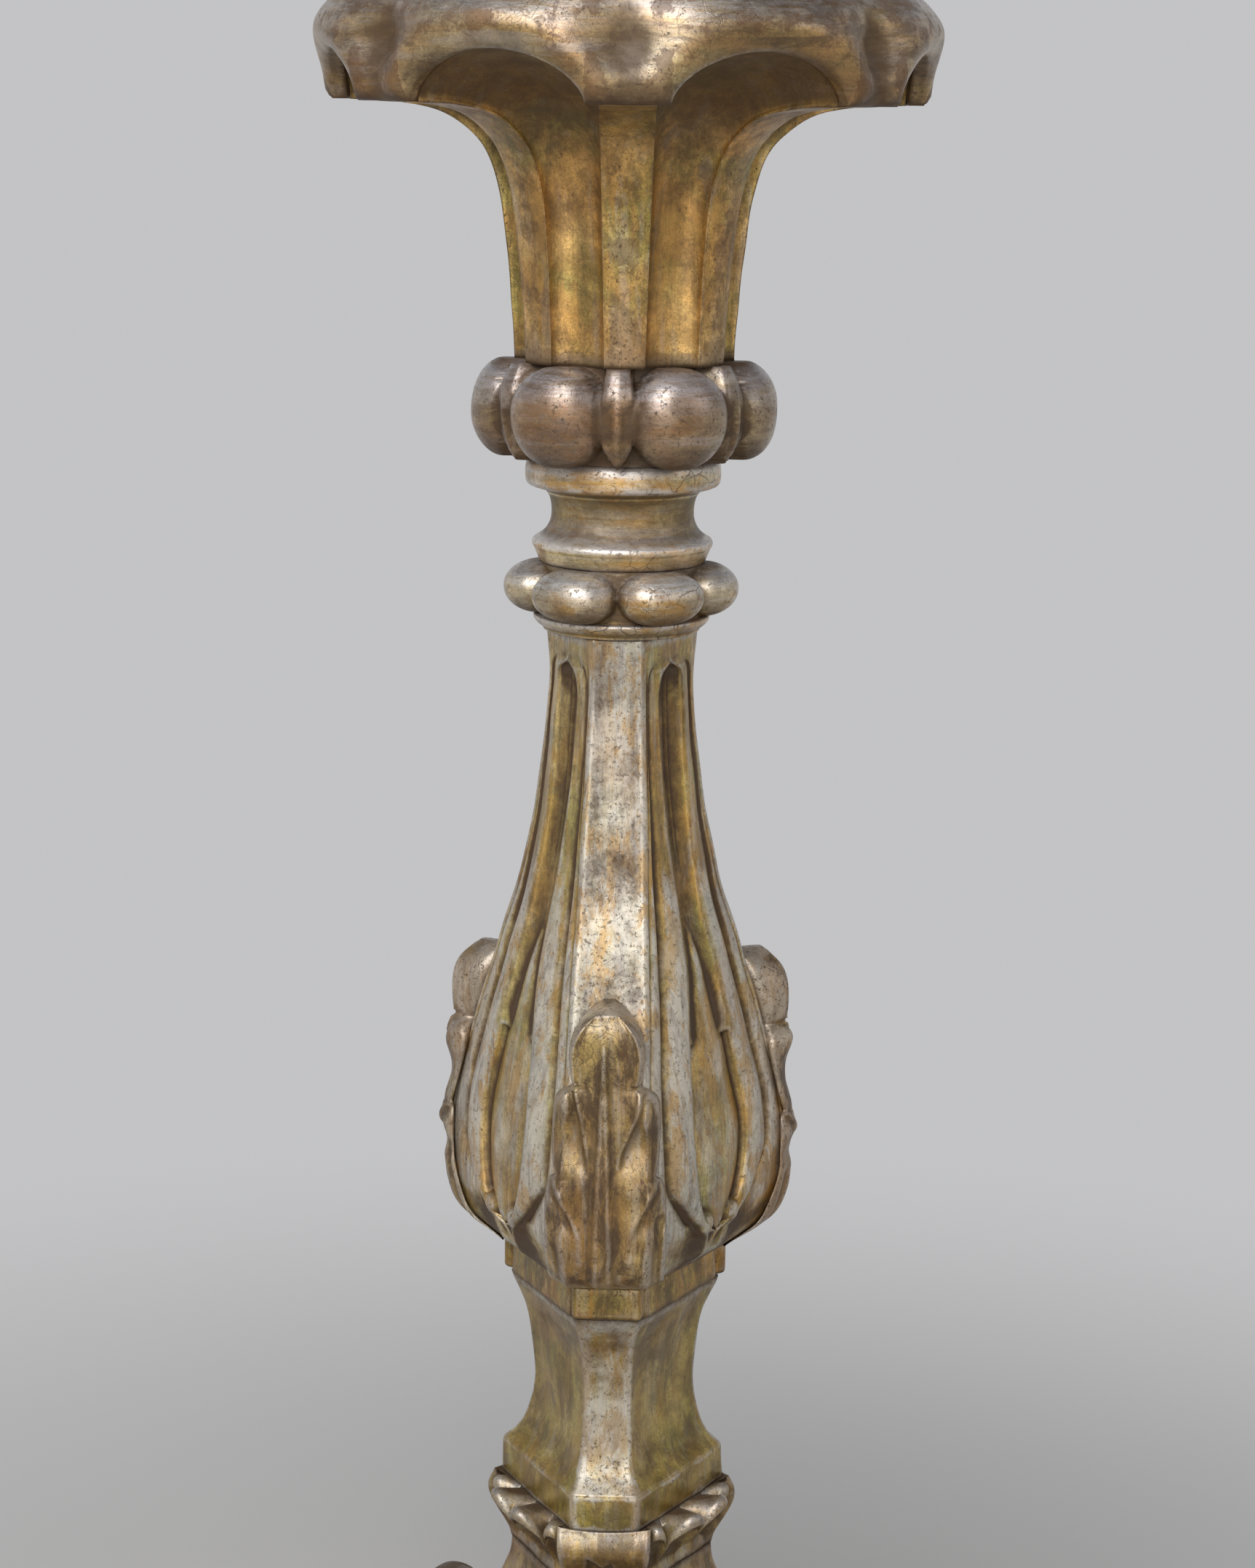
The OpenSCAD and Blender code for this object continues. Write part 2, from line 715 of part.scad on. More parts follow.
module waist() {
  shaft_h = waist_h - block_h;
  rings = concat(
    [three_sided(block_reach, block_facet_w, waist_z)],
    [
      for (t = [0, 0.035, 0.07, 0.11, 0.16, 0.22, 0.3, 0.4, 0.5, 0.62, 0.75, 0.82, 0.88, 0.93, 0.97, 1])
        let (share = curve(waist_outline, t))
          three_sided(mix(waist_reach, block_reach, share), mix(waist_facet_w, block_facet_w, share),
                      waist_z + block_h + t * shaft_h)
    ]
  );
  color(gilt) difference() {
    skin(rings);
    socket(spindle_d, waist_z - 1, waist_z + socket_depth);
    socket(spindle_d, ring_z - socket_depth, ring_z + 1);
  }
}

crown_steps = 72;
// Half the angle that a narrow side of the crown covers
side_angle = 18;
crown_levels = [
  0, 0.08, 0.16, 0.24, 0.315, 0.395, 0.47, 0.55, 0.63, 0.705, 0.785, 0.86, 0.92, 0.97, 1
];

// Distance from the axis to a three-sided outline at an angle
function outline_reach(reach, facet_w, angle) =
  let (from_leg = from_nearest(angle, 3))
  min(reach / cos(from_leg), face_reach(reach, facet_w) / cos(60 - from_leg));

// The crown: a slim bolster over each narrow side that swells to a volute at both its ends
function crown_radius(angle, z) =
  let (
    from_leg = from_nearest(angle, 3),
    end = 60 - volute_angle,
    t = min(from_leg / end, 1),
    groove = pow(max(from_leg - end, 0) / volute_angle, 2),
    half = mix(bolster_h, volute_d, t * t) / 2,
    middle = crown_h - volute_drop - bolster_sag * (1 - t * t),
    core = outline_reach(neck_reach, neck_facet_w, angle),
    side = crown_side_reach / cos(min(from_leg, side_angle)),
    swell = mix(side, volute_reach, t * t) - volute_gap * groove,
    u = (z - middle) / half
  )
  abs(u) >= 1 ? core : core + max(0, swell - core) * sqrt(1 - u * u);

module scroll_crown() {
  top = crown_h - volute_drop + volute_d / 2;
  color(worn_gilt) translate([0, 0, crown_z]) difference() {
    skin([
      for (z = crown_levels * top)
        [
          for (k = [0 : crown_steps - 1])
            let (angle = 360 * k / crown_steps)
              polar(crown_radius(angle, z), angle, z)
        ]
    ]);
    translate([0, 0, crown_h]) linear_extrude(top)
      polygon(flat(three_sided(block_reach + fit_gap, block_facet_w + fit_gap, 0)));
    socket(spindle_d, -1, crown_h + 1);
  }
}

// ---- base ----

module dowel_holes() {
  at_legs() for (z = dowel_heights) translate([0, -core_reach - dowel_l / 2, core_z + z])
    rotate([-90, 0, 0]) cylinder(d = dowel_d + 2 * fit_gap, h = dowel_l, $fn = 48);
}

module base_core() {
  flare_z = core_h - neck_flare_h;
  levels = [[0, 0], [flare_z - 14, 0], [flare_z, 0.12], [flare_z + neck_flare_h / 3, 0.5],
            [flare_z + neck_flare_h / 1.5, 0.88], [core_h, 1]];
  color(gilt) difference() {
    skin([
      for (level = levels)
        three_sided(mix(core_reach, neck_reach, level.y), mix(core_facet_w, neck_facet_w, level.y),
                    core_z + level.x)
    ]);
    socket(spindle_d, crown_z - socket_depth, crown_z + 1);
    dowel_holes();
    screw_holes();
  }
}

// Side view of a leg: two scrolls and the swept front between them
module leg_outline() {
  start = leg_foot_middle + foot_scroll_r * [cos(62), sin(62)];
  finish = leg_shoulder_middle + shoulder_r * [cos(-50), sin(-50)];
  pull = (start + finish) / 2 - [2 * leg_sweep, 0];
  swept = [
    for (t = [0 : 1 / 12 : 1])
      (1 - t) * (1 - t) * start + 2 * t * (1 - t) * pull + t * t * finish
  ];
  translate(leg_foot_middle) circle(foot_scroll_r, $fn = 72);
  translate(leg_shoulder_middle) circle(shoulder_r, $fn = 72);
  polygon(concat(
    [[core_reach, 0], [leg_foot_middle.x, 0]],
    swept,
    [leg_shoulder_middle, [leg_shoulder_middle.x, leg_h], [core_reach, leg_h - 8]]
  ));
}

module leg(turn) {
  color(gilt) difference() {
    rotate(turn) translate([0, 0, core_z]) rotate([90, 0, -90]) {
      linear_extrude(leg_t, center = true) leg_outline();
      for (middle = [leg_foot_middle, leg_shoulder_middle])
        translate(middle) cylinder(d = eye_d, h = leg_t + 2 * eye_proud, center = true, $fn = 64);
    }
    dowel_holes();
    screw_holes();
  }
}

module boss(turn) {
  color(worn_gilt) rotate(turn)
    translate([0, -face_reach(core_reach, core_facet_w), core_z + leg_h / 2])
      difference() {
        scale([boss_w, 2 * boss_proud, boss_h]) sphere(d = 1, $fn = 32);
        translate([-boss_w, 0, -boss_h]) cube([2 * boss_w, boss_w, 2 * boss_h]);
      }
}

// A side of the floor board, curved in between two cut corners
function board_side(turn) =
  let (
    wide = face_half(board_reach, board_corner_w),
    ahead = face_reach(board_reach, board_corner_w)
  )
  [
    for (s = [-1 : 0.125 : 1])
      let (p = turned(ahead - board_hollow * (1 - s * s), s * wide, turn, 0))
        [p.x, p.y]
  ];

module floor_board() {
  color(gilt) difference() {
    translate([0, 0, board_z]) linear_extrude(board_t)
      polygon([for (turn = face_turns) each board_side(turn)]);
    at_legs() translate([0, -foot_reach, 0]) socket(foot_peg_d, board_z - 1, board_z + foot_peg_h);
    screw_holes();
  }
}

module foot(turn) {
  r = foot_d / 2;
  bun = [
    for (a = [-60 : 15 : 60])
      [r * (0.62 + 0.38 * cos(a)), foot_h / 2 * (1 + sin(a) / sin(60))]
  ];
  color(worn_gilt) rotate(turn) translate([0, -foot_reach, 0]) {
    turned_solid(concat([[0, 0]], bun, [[0, foot_h]]));
    peg(foot_peg_d, foot_h, foot_h + foot_peg_h);
  }
}

// ---- what holds the pieces together ----

module upper_spindle() {
  color(bare_wood) peg(spindle_d, neck_ring_z - socket_depth, trumpet_z + socket_depth);
}

module middle_spindle() {
  color(bare_wood) peg(spindle_d, ring_z - socket_depth, baluster_z + socket_depth);
}

module lower_spindle() {
  color(bare_wood) peg(spindle_d, crown_z - socket_depth, waist_z + socket_depth);
}

module leg_dowels() {
  color(bare_wood) at_legs() for (z = dowel_heights)
    translate([0, -core_reach - dowel_l / 2, core_z + z])
      rotate([-90, 0, 0]) cylinder(d = dowel_d, h = dowel_l, $fn = 48);
}

module screw(gap) {
  peg(screw_d + gap, 0, screw_l);
  peg(screw_head_d + gap, 0, screw_head_h);
}

module screws(gap) {
  at_legs() for (reach = [core_screw_reach, leg_screw_reach])
    translate([0, -reach, board_z]) screw(gap);
}

module screw_holes() {
  screws(2 * fit_gap);
}

module board_screws() {
  color(iron) screws(0);
}

pricket();
wax_tray();
pan();
trumpet();
beaded_knop();
spool();
beaded_ring();
neck_ring();
baluster();
leaf(leg_turns[0]);  // leaf_front
leaf(leg_turns[1]);  // leaf_right
leaf(leg_turns[2]);  // leaf_left
key_ring();
waist();
scroll_crown();
base_core();
leg(leg_turns[0]);  // leg_front
leg(leg_turns[1]);  // leg_right
leg(leg_turns[2]);  // leg_left
boss(face_turns[0]);  // boss_right
boss(face_turns[1]);  // boss_back
boss(face_turns[2]);  // boss_left
floor_board();
foot(leg_turns[0]);  // foot_front
foot(leg_turns[1]);  // foot_right
foot(leg_turns[2]);  // foot_left
upper_spindle();
middle_spindle();
lower_spindle();
leg_dowels();
board_screws();
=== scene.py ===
import math

import bpy
import numpy as np
from mathutils import Matrix, Vector


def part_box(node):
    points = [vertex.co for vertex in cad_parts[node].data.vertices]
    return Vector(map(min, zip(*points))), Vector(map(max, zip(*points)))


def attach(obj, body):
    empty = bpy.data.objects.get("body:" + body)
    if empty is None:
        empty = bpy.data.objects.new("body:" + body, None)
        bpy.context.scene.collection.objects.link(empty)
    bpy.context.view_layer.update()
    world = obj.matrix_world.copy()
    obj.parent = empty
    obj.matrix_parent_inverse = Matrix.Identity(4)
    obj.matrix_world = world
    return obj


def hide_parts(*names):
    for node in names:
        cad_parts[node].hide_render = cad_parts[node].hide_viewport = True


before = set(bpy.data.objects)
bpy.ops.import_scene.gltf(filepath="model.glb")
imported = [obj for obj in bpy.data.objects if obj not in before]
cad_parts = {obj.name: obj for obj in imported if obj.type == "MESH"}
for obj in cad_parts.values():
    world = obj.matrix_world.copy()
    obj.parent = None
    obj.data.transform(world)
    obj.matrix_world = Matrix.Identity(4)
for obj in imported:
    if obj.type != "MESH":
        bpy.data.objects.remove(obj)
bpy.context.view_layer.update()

bpy.ops.object.select_all(action="DESELECT")
print("frame loaded")

mm = 0.001
bore = 14.1  # radius of the hole that the spindles pass through
legTurns = [0, 120, 240]
faceTurns = [60, 180, 300]
random = np.random.default_rng(11)


# ---- small sums that the carved pieces share ----

def mix(low, high, share):
    return low + (high - low) * share


def ease(value, low, high):
    t = np.clip((value - low) / (high - low), 0, 1)
    return t * t * (3 - 2 * t)


def hump(value, middle, spread, power=2):
    return np.exp(-np.abs((value - middle) / spread) ** power)


def curve(points, value):  # the same smooth curve through points as the part's source has
    xs, ys = np.array(points, float).T
    value = np.asarray(value, float)
    i = np.clip(np.searchsorted(xs, value, side="left") - 1, 0, len(xs) - 2)
    before, after = np.maximum(np.arange(len(xs)) - 1, 0), np.minimum(np.arange(len(xs)) + 1, len(xs) - 1)
    slopes = (ys[after] - ys[before]) / (xs[after] - xs[before])
    span = xs[i + 1] - xs[i]
    t = np.clip((value - xs[i]) / span, 0, 1)
    bend = span * t * (1 - t) * ((1 - t) * slopes[i] - t * slopes[i + 1])
    return mix(ys[i], ys[i + 1], t * t * (3 - 2 * t)) + bend


def polar(reach, angle, height):  # angles in degrees from the front towards +X
    angle = np.radians(angle)
    reach, angle, height = np.broadcast_arrays(reach, angle, height)
    return np.stack([reach * np.sin(angle), -reach * np.cos(angle), height], -1)


def turned(ahead, right, angle, height):
    c, s = math.cos(math.radians(angle)), math.sin(math.radians(angle))
    ahead, right, height = np.broadcast_arrays(ahead, right, height)
    return np.stack([right * c + ahead * s, right * s - ahead * c, height], -1)


def fromFacet(points, angle):  # how far points lie ahead of the axis and beside a narrow facet's middle
    c, s = math.cos(math.radians(angle)), math.sin(math.radians(angle))
    return points[:, 0] * s - points[:, 1] * c, np.abs(points[:, 0] * c + points[:, 1] * s)


def atReach(ring, reach):  # a ring of points drawn in or out to one distance from the axis
    ring = ring.copy()
    ring[:, :2] *= (reach / np.hypot(ring[:, 0], ring[:, 1]))[:, None]
    return ring


def faceReach(reach, facetWidth):
    return reach * 0.5 + facetWidth / 2 * math.sin(math.radians(60))


def faceHalf(reach, facetWidth):
    return reach * math.sin(math.radians(60)) - facetWidth / 4


def levels(node):
    low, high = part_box(node)
    return low.z / mm, high.z / mm


# ---- making a piece ----

def readVectors(items, name):
    values = np.empty(len(items) * 3)
    items.foreach_get(name, values)
    return values.reshape(-1, 3)


def shell(name, rows, bored=False):
    # a sphere, or a torus for a bored piece, whose rings are moved to rows of points in millimetres
    count, around = rows.shape[:2]
    if bored:
        bpy.ops.mesh.primitive_torus_add(major_segments=around, minor_segments=count,
                                         major_radius=1, minor_radius=0.5)
    else:
        bpy.ops.mesh.primitive_uv_sphere_add(segments=around, ring_count=count + 1, radius=1)
    piece = bpy.context.object
    piece.name = piece.data.name = name
    x, y, z = readVectors(piece.data.vertices, "co").T
    flat = np.hypot(x, y)
    if bored:
        row = np.rint(np.arctan2(z, flat - 1) / (2 * math.pi) * count).astype(int) % count
    else:
        row = np.rint((0.5 + np.arcsin(np.clip(z, -1, 1)) / math.pi) * (count + 1)).astype(int) - 1
    turn = np.arctan2(y, x) / (2 * math.pi) * around
    first = turn[np.argmax(flat)]
    column = np.rint(turn - (first - np.rint(first))).astype(int) % around
    inside = (row >= 0) & (row < count)
    points = np.empty((len(x), 3))
    points[inside] = rows[row[inside], column[inside]]
    points[row < 0], points[row >= count] = rows[0].mean(0), rows[-1].mean(0)
    piece.data.vertices.foreach_set("co", (points * mm).ravel())
    piece.data.update()
    return piece


def carverHand(rows, amount, length):
    # slow unevenness that a carver's hand leaves: it moves the surface in and out, not up or down
    ways = random.normal(size=(8, 3))
    ways *= (2 * math.pi / length * random.uniform(0.5, 1.7, 8) / np.linalg.norm(ways, axis=1))[:, None]
    push = np.sin(rows @ ways.T + random.uniform(0, 2 * math.pi, 8)).sum(-1) * amount / 2.5
    outward = rows[..., :2] / np.maximum(np.linalg.norm(rows[..., :2], axis=-1, keepdims=True), 1)
    rows[..., :2] += outward * push[..., None]
    return rows


def selectOnly(*pieces):
    bpy.ops.object.select_all(action="DESELECT")
    for piece in pieces:
        piece.select_set(True)
    bpy.context.view_layer.objects.active = pieces[0]


def join(name, parts):
    selectOnly(*parts)
    bpy.ops.object.join()
    parts[0].name = parts[0].data.name = name
    return parts[0]


def turnPiece(piece, degrees, ahead=0):  # sets a piece ahead of the axis and turns it about the axis
    forward = Matrix.Translation((0, -ahead * mm, 0))
    piece.data.transform(Matrix.Rotation(math.radians(degrees), 4, "Z") @ forward)


def copyTurned(piece, turns, names, ahead=0):  # copies with meshes of their own, in the place of the first
    copies = []
    for turn, name in zip(turns, names):
        copies.append(piece.copy())
        copies[-1].data = piece.data.copy()
        copies[-1].name = copies[-1].data.name = name
        bpy.context.collection.objects.link(copies[-1])
        turnPiece(copies[-1], turn, ahead)
    bpy.data.objects.remove(piece)
    return copies


def paintWith(piece, material):
    piece.data.materials.clear()
    piece.data.materials.append(material)


wear = {"edgeSteps": 5, "edgeDepth": 0.16, "jointHeight": 3.0, "jointSoil": 0.7, "underSoil": 0.45}


def markWear(piece, deep, steps, joints, rubbed):
    # how far each point stands out from, or lies in, its surroundings: rubbed edges, and dirt with painted
    # shade in hollows, near the ends and under surfaces that face down; painted sheen passed in joins the
    # wear
    mesh = piece.data
    count = len(mesh.vertices)
    points, normals = readVectors(mesh.vertices, "co") / mm, readVectors(mesh.vertices, "normal")
    edges = np.empty(len(mesh.edges) * 2, int)
    mesh.edges.foreach_get("vertices", edges)
    a, b = edges.reshape(-1, 2).T
    both, other = np.concatenate([a, b]), np.concatenate([b, a])
    near = np.maximum(np.bincount(both, minlength=count), 1)[:, None]

    def even(values, steps):
        for _ in range(steps):
            around = np.stack([np.bincount(both, column[other], count) for column in values.T], 1)
            values = 0.4 * values + 0.6 * around / near
        return values

    fine = even(points, wear["edgeSteps"])
    broad = even(fine, steps)
    fineOut, broadOut = (((points - smooth) * normals).sum(1) for smooth in (fine, broad))
    worn = np.clip(fineOut / wear["edgeDepth"], 0, 1) + 0.35 * np.clip(broadOut / deep, 0, 1)
    soiled = np.clip(-broadOut / deep, 0, 1) + 0.6 * np.clip(-fineOut / wear["edgeDepth"], 0, 1)
    # painted shade: surfaces that face down are darkened as if in shadow
    soiled += wear["underSoil"] * np.clip(-normals[:, 2], 0, 1)
    # darker near the piece's lowest and highest points
    for level, share in zip((points[:, 2].min(), points[:, 2].max()), joints):
        soiled += share * wear["jointSoil"] * np.exp(-np.abs(points[:, 2] - level) / wear["jointHeight"])
    # painted highlights and sheen that some pieces pass in join the wear mask
    if rubbed:
        worn += rubbed(points)
    for name, values in (("worn", worn), ("soiled", soiled)):
        values = even(np.clip(values, 0, 1)[:, None], 2)[:, 0]
        layer = mesh.attributes.new(name, "FLOAT", "POINT")
        layer.data.foreach_set("value", values.astype(np.float32))


def finishPiece(piece, node, material, creaseAngle=None, deep=1.1, steps=45, joints=(1, 1),
                rubbed=None):
    selectOnly(piece)
    if creaseAngle:
        bpy.ops.object.shade_smooth_by_angle(angle=math.radians(creaseAngle))
    else:
        bpy.ops.object.shade_smooth()
    markWear(piece, deep, steps, joints, rubbed)
    paintWith(piece, material)
    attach(piece, "root")
    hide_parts(node)
    return piece


# ---- shader nodes ----

def feed(tree, node, values):  # links a socket to each named input, or sets the input's own value
    for key, value in values.items():
        if isinstance(value, bpy.types.NodeSocket):
            tree.links.new(value, node.inputs[key])
        else:
            node.inputs[key].default_value = value


def addNode(tree, kind, inputs=None, **settings):
    node = tree.nodes.new(kind)
    for key, value in settings.items():
        setattr(node, key, value)
    feed(tree, node, inputs or {})
    return node


def sumOf(tree, operation, *values):
    clamped = operation == "MULTIPLY"
    inputs = dict(enumerate(values))
    return addNode(tree, "ShaderNodeMath", inputs, operation=operation, use_clamp=clamped).outputs[0]


def between(tree, value, low, high, first=0.0, last=1.0):
    inputs = {"Value": value, "From Min": low, "From Max": high, "To Min": first, "To Max": last}
    return addNode(tree, "ShaderNodeMapRange", inputs, interpolation_type="SMOOTHSTEP").outputs[0]


def blendColor(tree, share, first, second, way="MIX"):
    inputs = {0: share, 6: first, 7: second}
    return addNode(tree, "ShaderNodeMix", inputs, data_type="RGBA", blend_type=way).outputs[2]


def noise(tree, place, scale, detail=4, rough=0.55, distortion=0.0):
    inputs = {"Vector": place, "Scale": scale, "Detail": detail, "Roughness": rough, "Distortion": distortion}
    return addNode(tree, "ShaderNodeTexNoise", inputs).outputs[0]


def moved(tree, place, scale=None, offset=None):
    for operation, amount in (("MULTIPLY", scale), ("ADD", offset)):
        if amount is not None:
            node = addNode(tree, "ShaderNodeVectorMath", {0: place, 1: amount}, operation=operation)
            place = node.outputs[0]
    return place


def newMaterial(name):
    material = bpy.data.materials.new(name)
    material.use_nodes = True
    return material, material.node_tree, material.node_tree.nodes["Principled BSDF"]


def newGroup(name, inputs, outputs):
    tree = bpy.data.node_groups.new(name, "ShaderNodeTree")
    for way, sockets in (("INPUT", inputs), ("OUTPUT", outputs)):
        for socket, kind in sockets.items():
            tree.interface.new_socket(name=socket, in_out=way, socket_type="NodeSocket" + kind)
    return tree, tree.nodes.new("NodeGroupInput").outputs, tree.nodes.new("NodeGroupOutput")


# ---- camera, floor and light ----

studio = {
    "cameraTurn": 3, "cameraDistance": 1.7257, "cameraHeight": 1.1563, "cameraTilt": 12.5,
    "cameraYaw": -0.15, "cameraRoll": 0.75, "lens": 73.47, "sensor": 36, "lightAim": (0, 0, 0.8),
    "keyPower": 62, "keySize": 1.9, "keyPlace": (-0.6, -1.9, 2.6), "frontPower": 20, "frontSize": 2.2,
    "frontPlace": (0.1, -3.0, 1.3), "sidePower": 5, "sideSize": 1.2, "sidePlace": (2.2, -0.9, 1.9),
    "backdropColor": (0.55, 0.55, 0.56, 1), "ceilingColor": (0.10, 0.10, 0.11, 1),
    "ceilingRise": (0.2, 0.7), "ambient": 0.36, "floorColor": (0.86, 0.85, 0.83, 1), "floorRough": 0.8,
    "floorRadius": 30, "floorFade": (0.35, 1.7),
}


def seenShare(tree):  # the eye, metal and glass see the pale backdrop in full; it lights the rest only dimly
    path = addNode(tree, "ShaderNodeLightPath").outputs
    seen = path["Is Camera Ray"]
    for name in ("Is Glossy Ray", "Is Transmission Ray"):
        seen = sumOf(tree, "MAXIMUM", seen, path[name])
    return addNode(tree, "ShaderNodeMapRange", {"Value": seen, "To Min": studio["ambient"]}).outputs[0]


def makeCamera():
    camera = bpy.data.objects.new("camera", bpy.data.cameras.new("camera"))
    bpy.context.collection.objects.link(camera)
    turn = math.radians(studio["cameraTurn"])
    place = Vector((studio["cameraDistance"] * math.sin(turn), -studio["cameraDistance"] * math.cos(turn),
                    studio["cameraHeight"]))
    look = Matrix.Rotation(turn + math.radians(studio["cameraYaw"]), 4, "Z")
    look = look @ Matrix.Rotation(math.radians(90 - studio["cameraTilt"]), 4, "X")
    look = look @ Matrix.Rotation(math.radians(studio["cameraRoll"]), 4, "Z")
    camera.matrix_world = Matrix.Translation(place) @ look
    camera.data.lens = studio["lens"]
    camera.data.sensor_width = studio["sensor"]
    camera.data.dof.use_dof = False
    bpy.context.scene.camera = camera


def makeLights():
    for name in ("key", "front", "side"):
        light = bpy.data.lights.new(name, "AREA")
        light.shape = "SQUARE"
        light.size = studio[name + "Size"]
        light.energy = studio[name + "Power"]
        lamp = bpy.data.objects.new(name, light)
        lamp.location = studio[name + "Place"]
        lamp.rotation_euler = (Vector(studio["lightAim"]) - lamp.location).to_track_quat("-Z", "Y").to_euler()
        bpy.context.collection.objects.link(lamp)


def makeBackdrop():
    world = bpy.data.worlds.new("studio")
    world.use_nodes = True
    tree = world.node_tree
    way = addNode(tree, "ShaderNodeTexCoord").outputs["Generated"]
    rise = addNode(tree, "ShaderNodeSeparateXYZ", {0: way}).outputs[2]
    sky = blendColor(tree, between(tree, rise, *studio["ceilingRise"]), studio["backdropColor"],
                     studio["ceilingColor"])
    feed(tree, tree.nodes["Background"], {"Color": sky, "Strength": seenShare(tree)})
    bpy.context.scene.world = world
    bpy.context.scene.view_settings.view_transform = "Standard"


def makeFloor():
    bpy.ops.mesh.primitive_circle_add(vertices=64, radius=studio["floorRadius"], fill_type="NGON")
    floor = bpy.context.object
    floor.name = "floor"
    paint, tree, shader = newMaterial("floorPaint")  # far off it turns into the backdrop's own colour
    feed(tree, shader, {"Base Color": studio["floorColor"], "Roughness": studio["floorRough"]})
    place = addNode(tree, "ShaderNodeTexCoord").outputs["Object"]
    away = addNode(tree, "ShaderNodeVectorMath", {0: place}, operation="LENGTH").outputs["Value"]
    glow = {"Color": studio["backdropColor"], "Strength": seenShare(tree)}
    glow = addNode(tree, "ShaderNodeEmission", glow)
    fade = between(tree, away, *studio["floorFade"])
    both = addNode(tree, "ShaderNodeMixShader", {0: fade, 1: shader.outputs[0], 2: glow.outputs[0]})
    tree.links.new(both.outputs[0], tree.nodes["Material Output"].inputs["Surface"])
    paintWith(floor, paint)


makeCamera()
makeLights()
makeBackdrop()
makeFloor()
print("studio made")


# ---- gilding ----

# what a finish may change; colours are linear
# Pale also paints highlights and sheen, and Patina also paints shade in hollows and underneath
gildingColors = {
    "Light Gold": (0.62, 0.42, 0.15), "Deep Gold": (0.44, 0.24, 0.065), "Olive": (0.33, 0.28, 0.09),
    "Bole": (0.30, 0.075, 0.03), "Patina": (0.085, 0.05, 0.026), "Pale": (0.60, 0.56, 0.50),
}
# the top amount paints a pale sheen on what faces up, and the soil amount paints dirt and shade
gildingAmounts = {
    "Olive Amount": 0.3, "Patina Amount": 0.65, "Streak Amount": 0.45, "Speck Amount": 0.7,
    "Bole Amount": 0.3, "Crackle Amount": 0.35, "Mottle Amount": 0.5, "Soil Amount": 0.8,
    "Dust Amount": 0.05, "Edge Pale": 0.3, "Edge Bole": 0.05, "Top Gray": 0.0, "Drift Scale": 9.0,
    "Metal": 0.7, "Coat": 0.8,
}
upright = (1.0, 1.0, 0.07)  # streaks that run up and down a piece
roundAbout = (0.09, 0.09, 1.0)  # streaks that run round it


